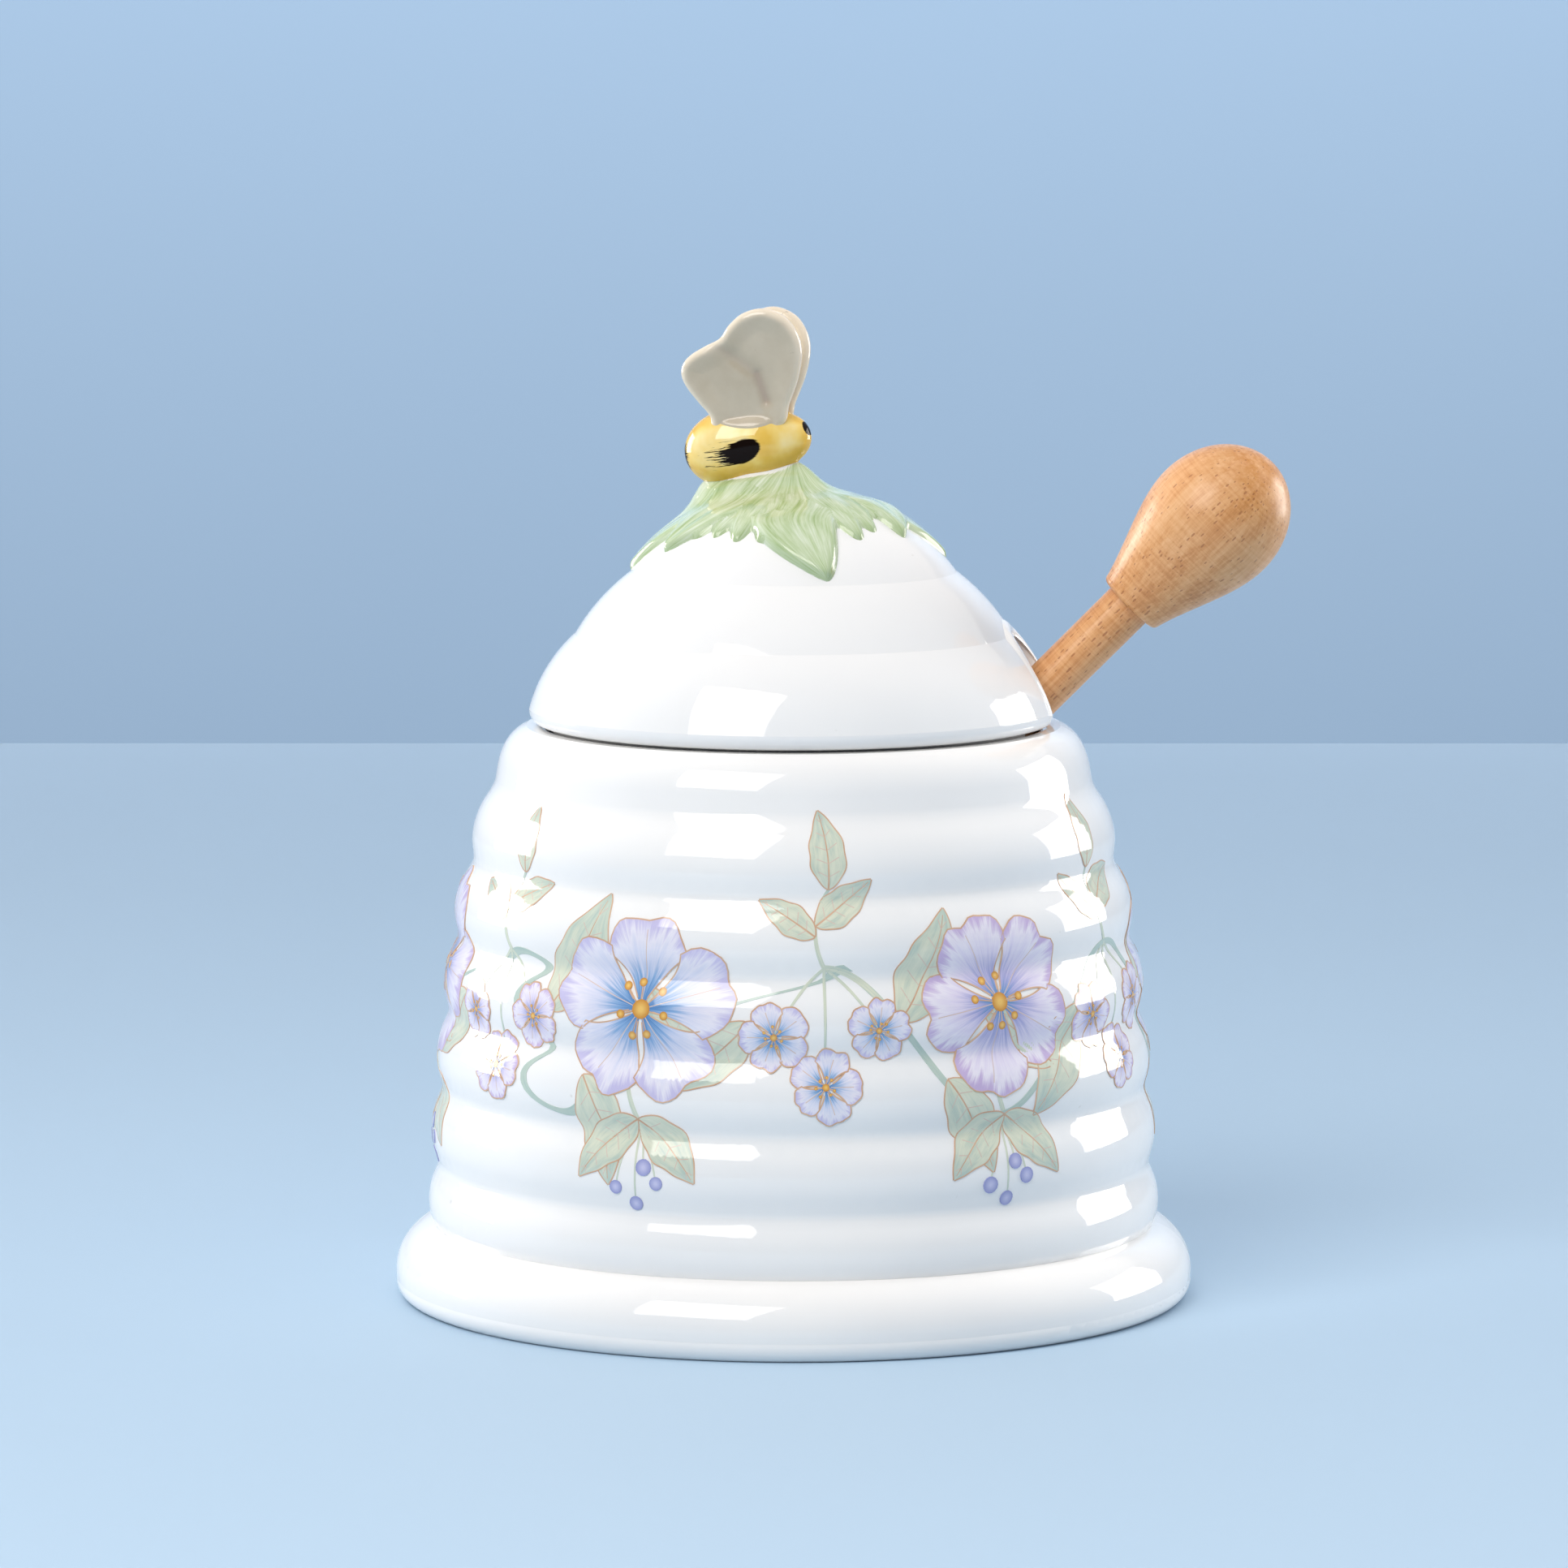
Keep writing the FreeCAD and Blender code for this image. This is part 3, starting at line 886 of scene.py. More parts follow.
def make_stage():
    """The table with its rounded far edge, and the wall."""
    outline = [(-table_front, 0)]
    for step in range(table_edge_steps + 1):
        angle = math.pi / 2 * step / table_edge_steps
        depth = table_depth - table_edge_radius * (1 - math.sin(angle))
        outline.append((depth, -table_edge_radius * (1 - math.cos(angle))))
    outline.append((table_depth, -table_thickness))
    table_paper = stage_paper("stage_table", table_colour, table_far_shade_colour)
    wall_paper = stage_paper("stage_wall", wall_cloud_colour, wall_colour)
    table = make_sheet("stage_table", outline, table_paper)
    wall = make_sheet("stage_wall", [(wall_distance, wall_low), (wall_distance, wall_high)], wall_paper)
    return [table, wall]


def make_lamp(name, place, target, width, height, power):
    light = bpy.data.lights.new(name, "AREA")
    light.shape = "RECTANGLE"
    light.size = width
    light.size_y = height
    light.energy = power
    light.color = light_colour
    lamp = add_object(name, light)
    lamp.location = place
    lamp.rotation_euler = (place - target).to_track_quat("Z", "Y").to_euler()
    return lamp


def make_softbox(softbox, unlit_stage):
    name, turn_deg, height_deg, distance, width, height, power, mirrored, lights_stage = softbox
    turn = math.radians(turn_deg + camera_turn_deg - 90)
    lift = math.radians(height_deg)
    middle = Vector((0, 0, (cad_box[0][2] + cad_box[1][2]) / 2))
    away = Vector((math.cos(lift) * math.cos(turn), math.cos(lift) * math.sin(turn), math.sin(lift)))
    lamp = make_lamp(name, middle + away * distance, middle, width, height, power)
    lamp.visible_glossy = mirrored
    if not lights_stage:
        lamp.light_linking.receiver_collection = unlit_stage


def make_lights(stage):
    """The softboxes, some of which leave the stage unlit, and the strip light on the wall."""
    unlit_stage = bpy.data.collections.new("unlit_stage")
    for sheet in stage:
        unlit_stage.objects.link(sheet)
    for member in unlit_stage.collection_objects:
        member.light_linking.link_state = "EXCLUDE"
    for softbox in softboxes:
        make_softbox(softbox, unlit_stage)
    turn = turn_matrix(camera_turn_deg, "Z")
    place = turn @ Vector((0, wall_distance - wall_light_gap, wall_light_height))
    target = turn @ Vector((0, wall_distance, 0))
    lamp = make_lamp("wall_light", place, target, wall_light_width, wall_light_depth, wall_light_power)
    lamp.visible_glossy = False


def make_world():
    world = bpy.data.worlds.new("studio")
    world.use_nodes = True
    tree = world.node_tree
    direction = Field(add(tree, "ShaderNodeTexCoord"), "Generated")
    room = ((direction.part("Y") + 1.0) * 0.5).ramp(world_stops)
    tree.links.new(room.socket, tree.nodes["Background"].inputs["Color"])
    bpy.context.scene.world = world
    bpy.context.scene.view_settings.view_transform = "Standard"


def dress_solids(white):
    """Porcelain on the pot and the lid, wood on the dipper."""
    dipper_axis = Vector(next(j["axis"] for j in frame["joints"] if j["name"] == "dipper_draw"))
    grip_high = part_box("dipper_grip")[1]
    wood = beech(dipper_axis, Vector((grip_high[0], 0, grip_high[2])).dot(dipper_axis))
    looks = {"pot_body": white, "lid_shell": white}
    looks.update({name: wood for name in ("dipper_grip", "dipper_shaft", "dipper_head")})
    for name, material in looks.items():
        nodes[name].data.materials.clear()
        nodes[name].data.materials.append(material)


# Collar of leaves

def leaf_field(theta, phi):
    """Relief over the crown, and for the leaf that stands highest its own place across and along."""
    sunk = -leaf_sink / leaf_relief
    half_angle = math.radians(crown_half_angle_deg)
    skirt = smooth_step((skirt_share * half_angle - theta) * crown_radius / leaf_edge + 0.5)
    best = skirt_relief_share * skirt + sunk * (1 - skirt)
    second = np.full(theta.shape, sunk)
    fan = phi.copy()
    along_of = theta / half_angle
    rim_of = np.full(theta.shape, leaf_edge)
    for turn_deg, tip_share, width_share, bend_share, rise_share, point_share in collar_leaves:
        swing = (phi - math.radians(turn_deg) + math.pi) % (2 * math.pi) - math.pi
        reach = half_angle * tip_share
        along = theta * np.cos(swing) / reach
        full_width = leaf_half_width * width_share
        taper = np.clip((along - leaf_shoulder_share) / (1 - leaf_shoulder_share), 0, 1)
        width = full_width * np.maximum(1 - taper**leaf_taper_power, leaf_point_floor) ** point_share
        bend = arch(np.clip(along, 0, 1)) * bend_share * full_width
        across = (theta * np.sin(swing) * crown_radius - bend) / width
        inside = np.minimum((1 - np.abs(across)) * width, (1 - along) * reach * crown_radius)
        inside = np.where(np.abs(swing) < math.pi / 2, inside, -leaf_edge)
        part = smooth_step(inside / leaf_edge + 0.5)
        risen = rise(along, *leaf_rise_shares)
        lift = skirt_relief_share + (rise_share - skirt_relief_share) * risen
        groove = groove_share * bell(across, groove_width_share) * risen * rise_share
        height = part * (lift - groove) + (1 - part) * sunk
        higher = height > best
        second = np.where(higher, best, np.maximum(second, height))
        best = np.where(higher, height, best)
        drawn = rise(along, *leaf_drawn_shares)
        stem_angle = across * full_width / (crown_radius * leaf_shoulder_share * reach)
        leaf_fan = math.radians(turn_deg) + swing * (1 - drawn) + stem_angle * drawn
        fan = np.where(higher, leaf_fan, fan)
        along_of = np.where(higher, along, along_of)
        rim_of = np.where(higher, inside, rim_of)
    return best, second, fan, along_of, rim_of


def soften(field, steps):
    """Smooths a field on the crown that closes on itself round the axis."""
    for _ in range(steps):
        padded = np.vstack([field[:1], field, field[-1:]])
        round_mean = (np.roll(field, 1, 1) + np.roll(field, -1, 1)) / 2
        down_mean = (padded[:-2] + padded[2:]) / 2
        field = field / 2 + (round_mean + down_mean) / 4
    return field


def ground_under(outward):
    """The distance from the crown's centre to the lid's surface in each direction."""
    lid = surface_of("lid_shell")
    hits = []
    for direction in outward.reshape(-1, 3):
        direction = Vector(direction)
        hit = lid.ray_cast(crown_centre + direction * collar_ray_start, -direction)[0]
        hits.append((hit - crown_centre).length)
    return np.array(hits).reshape(outward.shape[:2])


def make_collar(material):
    """The relief of leaves over the lid's crown, in one fired piece with a skirt up to the bee."""
    thetas = math.radians(collar_reach_deg) * (np.arange(collar_reach_steps) + 0.5) / collar_reach_steps
    phis = 2 * math.pi * np.arange(collar_turn_steps) / collar_turn_steps
    theta, phi = np.meshgrid(thetas, phis, indexing="ij")
    outward = np.stack([np.sin(theta) * np.cos(phi), np.sin(theta) * np.sin(phi), np.cos(theta)], -1)
    towards_bee = np.array((bee_middle - crown_centre).to_track_quat("Z", "Y").to_matrix())
    outward = outward @ towards_bee.T
    ground = ground_under(outward)
    crown_theta = np.arccos(np.clip(outward[..., 2], -1, 1))
    crown_phi = np.arctan2(outward[..., 1], outward[..., 0])
    relief, second, fan, along, rim = leaf_field(crown_theta, crown_phi)
    inside = crown_theta < math.radians(crown_half_angle_deg)
    skirt = np.where(inside, np.maximum(soften(ground, collar_soften_steps), ground), ground)
    from_bee = bee_place.inverted()
    local = (np.array(crown_centre) + outward * skirt[..., None]) @ np.array(from_bee.to_3x3()).T
    local += np.array(from_bee.translation)
    below_bee = -bee_seat_drop - local[..., 2]
    root = smooth_step(below_bee / (2 * slip_band))
    under_bee = 1 - (local[..., 0] / slip_half_length) ** 2 - (local[..., 1] / slip_half_width) ** 2
    slip = slip_rise * smooth_step(slip_steepness * under_bee)
    low = ground - collar_sink
    top = skirt + soften(relief * root, leaf_soften_steps) * leaf_relief + slip
    top = np.maximum(top, low + collar_least)
    vertices, poles, faces = [], [], []
    layer = theta.size
    for index, radius in enumerate((top, low)):
        vertices.extend((np.array(crown_centre) + outward * radius[..., None]).reshape(-1, 3))
        poles.append(np.array(crown_centre) + towards_bee[:, 2] * radius[0].mean())
        faces += ring_faces(collar_reach_steps, collar_turn_steps, index * layer)
        faces += fan_faces(2 * layer + index, index * layer, collar_turn_steps)
    faces += joined_rings(layer - collar_turn_steps, 2 * layer - collar_turn_steps, collar_turn_steps)
    collar = make_lid_piece("leaf_collar", vertices + poles, faces, material)
    paint = smooth_step(soften(relief, paint_soften_steps) + paint_spread_share)
    paint *= smooth_step(below_bee / slip_band - paint_gap_share)
    # darker green in the creases between leaves and round the tips
    crease = bell(relief - second, crease_width_share) * rise(along, *leaf_crease_shares)
    tip = bell(rim, leaf_edge) * rise(along, *leaf_tip_shares)
    darkening = soften(np.maximum(crease_dark_share * crease, tip_dark_share * tip), dark_soften_steps)
    fields = [np.concatenate([field.ravel(), field.ravel(), [0, 0]]) for field in (paint, darkening, fan, along)]
    put_value(collar.data, "paint", fields[0])
    put_value(collar.data, "darkening", fields[1])
    put_strokes(collar.data, np.stack(fields[2:], -1))
    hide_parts(*[name for name in nodes if name.startswith("leaf_")])


# Lip of the notch

def notch_point(place, straight, length):
    """A place along the notch's edge, as a point across and up with its outward direction."""
    if place < straight:
        return (-notch_half_width, lip_half_width + place), (-1.0, 0.0)
    if place > length - straight:
        return (notch_half_width, lip_half_width + length - place), (1.0, 0.0)
    angle = math.pi - (place - straight) / notch_half_width
    normal = (math.cos(angle), math.sin(angle))
    spring = notch_height - notch_half_width
    return (notch_half_width * normal[0], spring + notch_half_width * normal[1]), normal


def make_lip(material):
    """A rounded lip that the glaze leaves round the arch of the notch, across the wall's thickness."""
    lid = surface_of("lid_shell")
    inward = Vector((-1, 0, 0))
    straight = notch_height - notch_half_width - lip_half_width
    length = 2 * straight + math.pi * notch_half_width
    vertices = []
    for step in range(lip_steps + 1):
        middle, normal = notch_point(length * step / lip_steps, straight, length)
        y = middle[0] + normal[0] * lip_inset
        z = lid_seat + middle[1] + normal[1] * lip_inset
        outer = lid.ray_cast(Vector((cad_box[1][0], y, z)), inward)[0].x
        inner = lid.ray_cast(Vector((outer - lip_overhang, y, z)), inward)[0].x
        half_depth = (outer - inner) / 2 + lip_overhang
        for turn in range(lip_turn_steps):
            angle = 2 * math.pi * turn / lip_turn_steps
            reach = lip_half_width * math.sin(angle)
            depth = (outer + inner) / 2 + half_depth * math.cos(angle)
            vertices.append((depth, y + normal[0] * reach, z + normal[1] * reach))
    faces = ring_faces(lip_steps + 1, lip_turn_steps)
    for first in (0, lip_steps * lip_turn_steps):
        ring = np.array(vertices[first:first + lip_turn_steps])
        centre = ring.mean(axis=0)
        for level in range(1, lip_cap_steps):
            angle = math.pi / 2 * level / lip_cap_steps
            faces += joined_rings(first, len(vertices), lip_turn_steps)
            first = len(vertices)
            vertices.extend(centre + (ring - centre) * math.cos(angle) - [0, 0, lip_cap * math.sin(angle)])
        faces += fan_faces(len(vertices), first, lip_turn_steps)
        vertices.append(centre - [0, 0, lip_cap])
    make_lid_piece("notch_lip", vertices, faces, material)


# Bee

def blob_radius(x, blob, inward):
    """The radius of one end of the bee, round outwards and drawn out inwards."""
    middle, half_length, radius = blob
    place = (x - middle) / half_length
    if place * inward > 0:
        return radius * max(1 - (place / bee_drawn_share) ** 2, 0) ** bee_drawn_power
    return radius * math.sqrt(max(1 - place**2, 0))


def bee_radius(x):
    """The bee's radius at a place along it, where its two ends run together."""
    ends = (blob_radius(x, bee_tail, 1), blob_radius(x, bee_head, -1))
    return sum(end**bee_blend for end in ends) ** (1 / bee_blend)


def bee_marks(share, turn, place):
    """How far inside a black mark a place on the bee lies: above 0 is inside."""
    flank = (abs(turn) - math.radians(stroke_turn_deg)) / math.radians(stroke_half_turn_deg)
    run = share - stroke_middle_share
    run /= stroke_head_share if run > 0 else stroke_tail_share
    marks = 1 - math.hypot(flank + stroke_slant * run, run)
    aside, up = math.radians(eye_aside_deg), math.radians(eye_up_deg)
    middle, half_length, radius = bee_head
    for side in (-1, 1):
        eye = Vector((half_length * math.cos(aside), side * radius * math.sin(aside), radius * math.sin(up)))
        marks = max(marks, 1 - (place - eye - Vector((middle, 0, 0))).length / eye_radius)
    tail = bee_tail[0] - bee_tail[1] + tail_mark_depth
    return max(marks, (tail - place.x) / tail_mark_depth)


def bee_painted_shade(share, turn):
    """Painted shade, as how deep the yellow lies: at the waist, at both ends, under the belly and along the
    back.
    """
    waist = bell(share - waist_shares[0], waist_shares[1])
    ends = sum(bell(share - place, width) for place, width in bee_end_shares)
    belly = rise(abs(turn), *belly_turns)
    back = rise(-abs(turn), *back_turns)
    return max(waist_shade_share * waist, bee_shade_share * max(ends, belly, back))


def make_bee(material):
    """A fat tail and a smaller head run together, cut flat where the bee sits in the slip."""
    start = bee_tail[0] - bee_tail[1]
    stop = bee_head[0] + bee_head[1]
    shares = (1 - np.cos(np.pi * np.arange(1, bee_along_steps) / bee_along_steps)) / 2
    vertices, strokes, stroke, darkening, rag = [], [], [], [], []
    for share in [*shares, 0, 1]:
        x = start + (stop - start) * share
        radius = bee_radius(x)
        drop = bee_tail_drop * float(smooth_step(-x / bee_tail[1]))
        left = (stroke_middle_share - share) / stroke_tail_share + rag_start_share
        for angle in 2 * math.pi * np.arange(bee_turn_steps if 0 < share < 1 else 1) / bee_turn_steps:
            place = Vector((x, bee_flank_share * radius * math.sin(angle), radius * math.cos(angle) - drop))
            turn = math.atan2(place.y, place.z)
            vertices.append(bee_place @ Vector((x, place.y, max(place.z, -bee_sink))))
            strokes.append((share * bee_stroke_shares[0], turn * bee_stroke_shares[1]))
            stroke.append(bee_marks(share, turn, place))
            rag.append(np.clip(left, rag_least_share, 1))
            # painted shade: deeper yellow at the waist, the ends, the belly and the back
            darkening.append(bee_painted_shade(share, turn))
    rows = len(shares)
    poles = rows * bee_turn_steps
    faces = ring_faces(rows, bee_turn_steps)
    faces += fan_faces(poles, 0, bee_turn_steps)
    faces += fan_faces(poles + 1, poles - bee_turn_steps, bee_turn_steps)
    bee = make_lid_piece("bee", vertices, faces, material)
    put_value(bee.data, "stroke", stroke)
    put_value(bee.data, "darkening", darkening)
    put_value(bee.data, "rag", rag)
    put_strokes(bee.data, strokes)
    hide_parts("bee_body")


def with_apron(half, x, z):
    """The half thickness of a wing's outer face, raised at the root to an apron that lies on the bee."""
    lean = math.radians(wing_lean_deg)
    cos, sin = math.cos(lean), math.sin(lean)
    radius = np.array([bee_radius(place) for place in x])
    seat = half
    for _ in range(apron_rounds):
        flank = bee_flank_share * np.sqrt(np.clip(radius**2 - (z * cos - seat * sin) ** 2, 0, None))
        seat = (flank - wing_root_offset - z * sin) / cos
    edge = apron_low + apron_bend * (x - apron_middle) ** 2
    return np.maximum(half, seat + apron_rise * np.clip((z - edge) / apron_width, -1, 1))


def make_wing(name, side, size_share, node, material):
    """One wing of two rounded lobes, hollowed on both faces inside a round rim, with a crease to the root."""
    size = np.array([wing_span, wing_reach]) * size_share
    outline = closed_loop(np.stack([wing_span_shares, wing_reach_shares], -1) * size, wing_outline_steps)
    middle = np.array(wing_middle_shares) * size
    fold = np.array(wing_fold_shares) * size
    rings = np.sin(np.pi / 2 * np.arange(1, wing_ring_steps + 1) / wing_ring_steps)
    points = np.concatenate([middle + (outline - middle) * ring for ring in rings] + [middle[None]])
    rim = distance_to_line(points, np.vstack([outline, outline[:1]]))
    from_fold = distance_to_line(points, fold)
    edge = np.sqrt(1 - (1 - np.clip(rim / wing_rim, 0, 1)) ** 2)
    inside = smooth_step(rim / wing_rim)
    hollow = rise(rim, wing_rim / 2, wing_recess_reach)
    crease = bell(distance_to_line(points, fold[-2:]), wing_crease_width)
    half = wing_thickness / 2 * edge - wing_recess * hollow
    half -= wing_crease_depth * crease + wing_fold_depth * bell(from_fold, wing_fold_width) * inside
    outer = with_apron(half, *points.T)
    left, right = (outer, half) if side > 0 else (half, outer)
    offset = Matrix.Translation((0, side * wing_root_offset, 0))
    place = bee_place @ offset @ turn_matrix(-side * wing_lean_deg, "X")
    # the second face shares its outermost ring with the first
    count = len(points)
    last = count - 1 - wing_outline_steps
    order = [*range(last), count - 1]
    vertices = [place @ Vector((x, depth, z)) for (x, z), depth in zip(points, left)]
    vertices += [place @ Vector((points[i][0], -right[i], points[i][1])) for i in order]
    faces = ring_faces(wing_ring_steps, wing_outline_steps)
    faces += ring_faces(wing_ring_steps - 1, wing_outline_steps, count)
    faces += joined_rings(count + last - wing_outline_steps, last, wing_outline_steps)
    faces += fan_faces(count - 1, 0, wing_outline_steps)
    faces += fan_faces(len(vertices) - 1, count, wing_outline_steps)
    wing = make_lid_piece(name, vertices, faces, material)
    # painted shade: darker crease and fold, greyer outer faces inside the rims; painted highlight: lighter
    # rims
    crease_shade = np.maximum(crease, wing_fold_shade_share * bell(from_fold, wing_crease_width))
    shade = np.concatenate([np.full(count, side > 0), np.full(len(order), side < 0)])
    values = {"crease": crease_shade, "rim": bell(rim / wing_rim, wing_rim_highlight_share), "outer": inside}
    for key, field in values.items():
        field = np.concatenate([field, field[order]])
        put_value(wing.data, key, field * shade if key == "outer" else field)
    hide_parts(node)


# Print on the pot: a trailing vine with five-petal blossoms, clusters, leaves and berries

def wall_profile():
    """Heights up the pot's wall with the radius and the slope there, read from the pot."""
    pot = surface_of("pot_body")
    heights = np.linspace(print_low, print_high, print_profile_steps)
    start = cad_box[1][0] * 2
    radii = [pot.ray_cast(Vector((start, 0, height)), Vector((-1, 0, 0)))[0].x for height in heights]
    return heights, np.array(radii), np.gradient(radii, heights)


class Print:
    """Thin closed patches of colour wrapped onto the pot's wall, joined into one mesh."""

    def __init__(self, profile):
        self.heights, self.radii, self.slopes = profile
        self.vertices, self.faces, self.normals, self.tops, self.strokes, self.tints = [], [], [], [], [], []

    def wrap(self, spot, points, lift):
        """Points to the right of and above a spot on the wall, its turn and height, as places and normals."""
        turn, height = spot
        z = np.clip(height + points[..., 1], print_low, print_high)
        radius = np.interp(z, self.heights, self.radii)
        slope = np.interp(z, self.heights, self.slopes)
        angle = turn + points[..., 0] / radius
        length = np.sqrt(1 + slope**2)
        normal = np.stack([np.cos(angle) / length, np.sin(angle) / length, -slope / length], -1)
        place = np.stack([radius * np.cos(angle), radius * np.sin(angle), z], -1)
        return place + normal * lift, normal

    def lay(self, spot, points, strokes, layer, tint=0.0):
        """One patch from a grid of points, with its brush directions and its place in the stack."""
        rows, columns = points.shape[:2]
        across = points[:, 1:] - points[:, :-1]
        along = points[1:] - points[:-1]
        turned = across[:-1, :, 0] * along[:, :-1, 1] - across[:-1, :, 1] * along[:, :-1, 0]
        if turned.sum() < 0:
            points, strokes = points[:, ::-1], strokes[:, ::-1]
        first = len(self.vertices)
        count = rows * columns
        for lift in (print_lift + layer * print_layer, -print_sink):
            place, normal = self.wrap(spot, points, lift)
            self.vertices.extend(place.reshape(-1, 3))
            self.normals.extend(normal.reshape(-1, 3))
            self.strokes.extend(strokes.reshape(-1, 2))
            self.tints.extend([tint] * count)
        for row in range(rows - 1):
            for column in range(columns - 1):
                a = first + row * columns + column
                b, c, d = a + 1, a + columns + 1, a + columns
                self.faces += [(a, b, c, d), (a + count, d + count, c + count, b + count)]
                self.tops += [True, False]
        rim = [(0, column) for column in range(columns - 1)]
        rim += [(row, columns - 1) for row in range(rows - 1)]
        rim += [(rows - 1, column) for column in range(columns - 1, 0, -1)]
        rim += [(row, 0) for row in range(rows - 1, 0, -1)]
        edge = [first + row * columns + column for row, column in rim]
        for a, b in zip(edge, edge[1:] + edge[:1]):
            self.faces.append((a, a + count, b + count, b))
            self.tops.append(False)

    def ribbon(self, spot, path, widths, layer, tint=0.0):
        """A line of colour of varying width along a path."""
        path = np.asarray(path, float)
        run = np.gradient(path, axis=0)
        run /= np.linalg.norm(run, axis=1)[:, None]
        side = np.stack([run[:, 1], -run[:, 0]], -1)
        halves = np.broadcast_to(widths, len(path)) / 2
        across = np.array([-1.0, 0.0, 1.0])[None]
        points = path[:, None] + side[:, None] * across[..., None] * halves[:, None, None]
        reach = np.cumsum(np.linalg.norm(np.diff(path, axis=0, prepend=path[:1]), axis=1)) / print_stroke
        strokes = np.stack(np.broadcast_arrays(across, reach[:, None]), -1)
        self.lay(spot, points, strokes, layer, tint)

    def finish(self, name, material, slot):
        """The patches as a piece of the pot, lit as the wall under them is."""
        mesh = smooth_mesh(name, self.vertices, self.faces, material)
        put_strokes(mesh, self.strokes)
        put_value(mesh, "tint", self.tints)
        normals = np.array(self.normals)[corner_vertices(mesh)]
        for polygon, top in zip(mesh.polygons, self.tops):
            if not top:
                normals[list(polygon.loop_indices)] = polygon.normal
        mesh.normals_split_custom_set([tuple(n) for n in normals])
        ride(name, mesh, "pot")


def turned_by(points, angle):
    cos, sin = math.cos(angle), math.sin(angle)
    return points @ np.array([[cos, sin], [-sin, cos]])


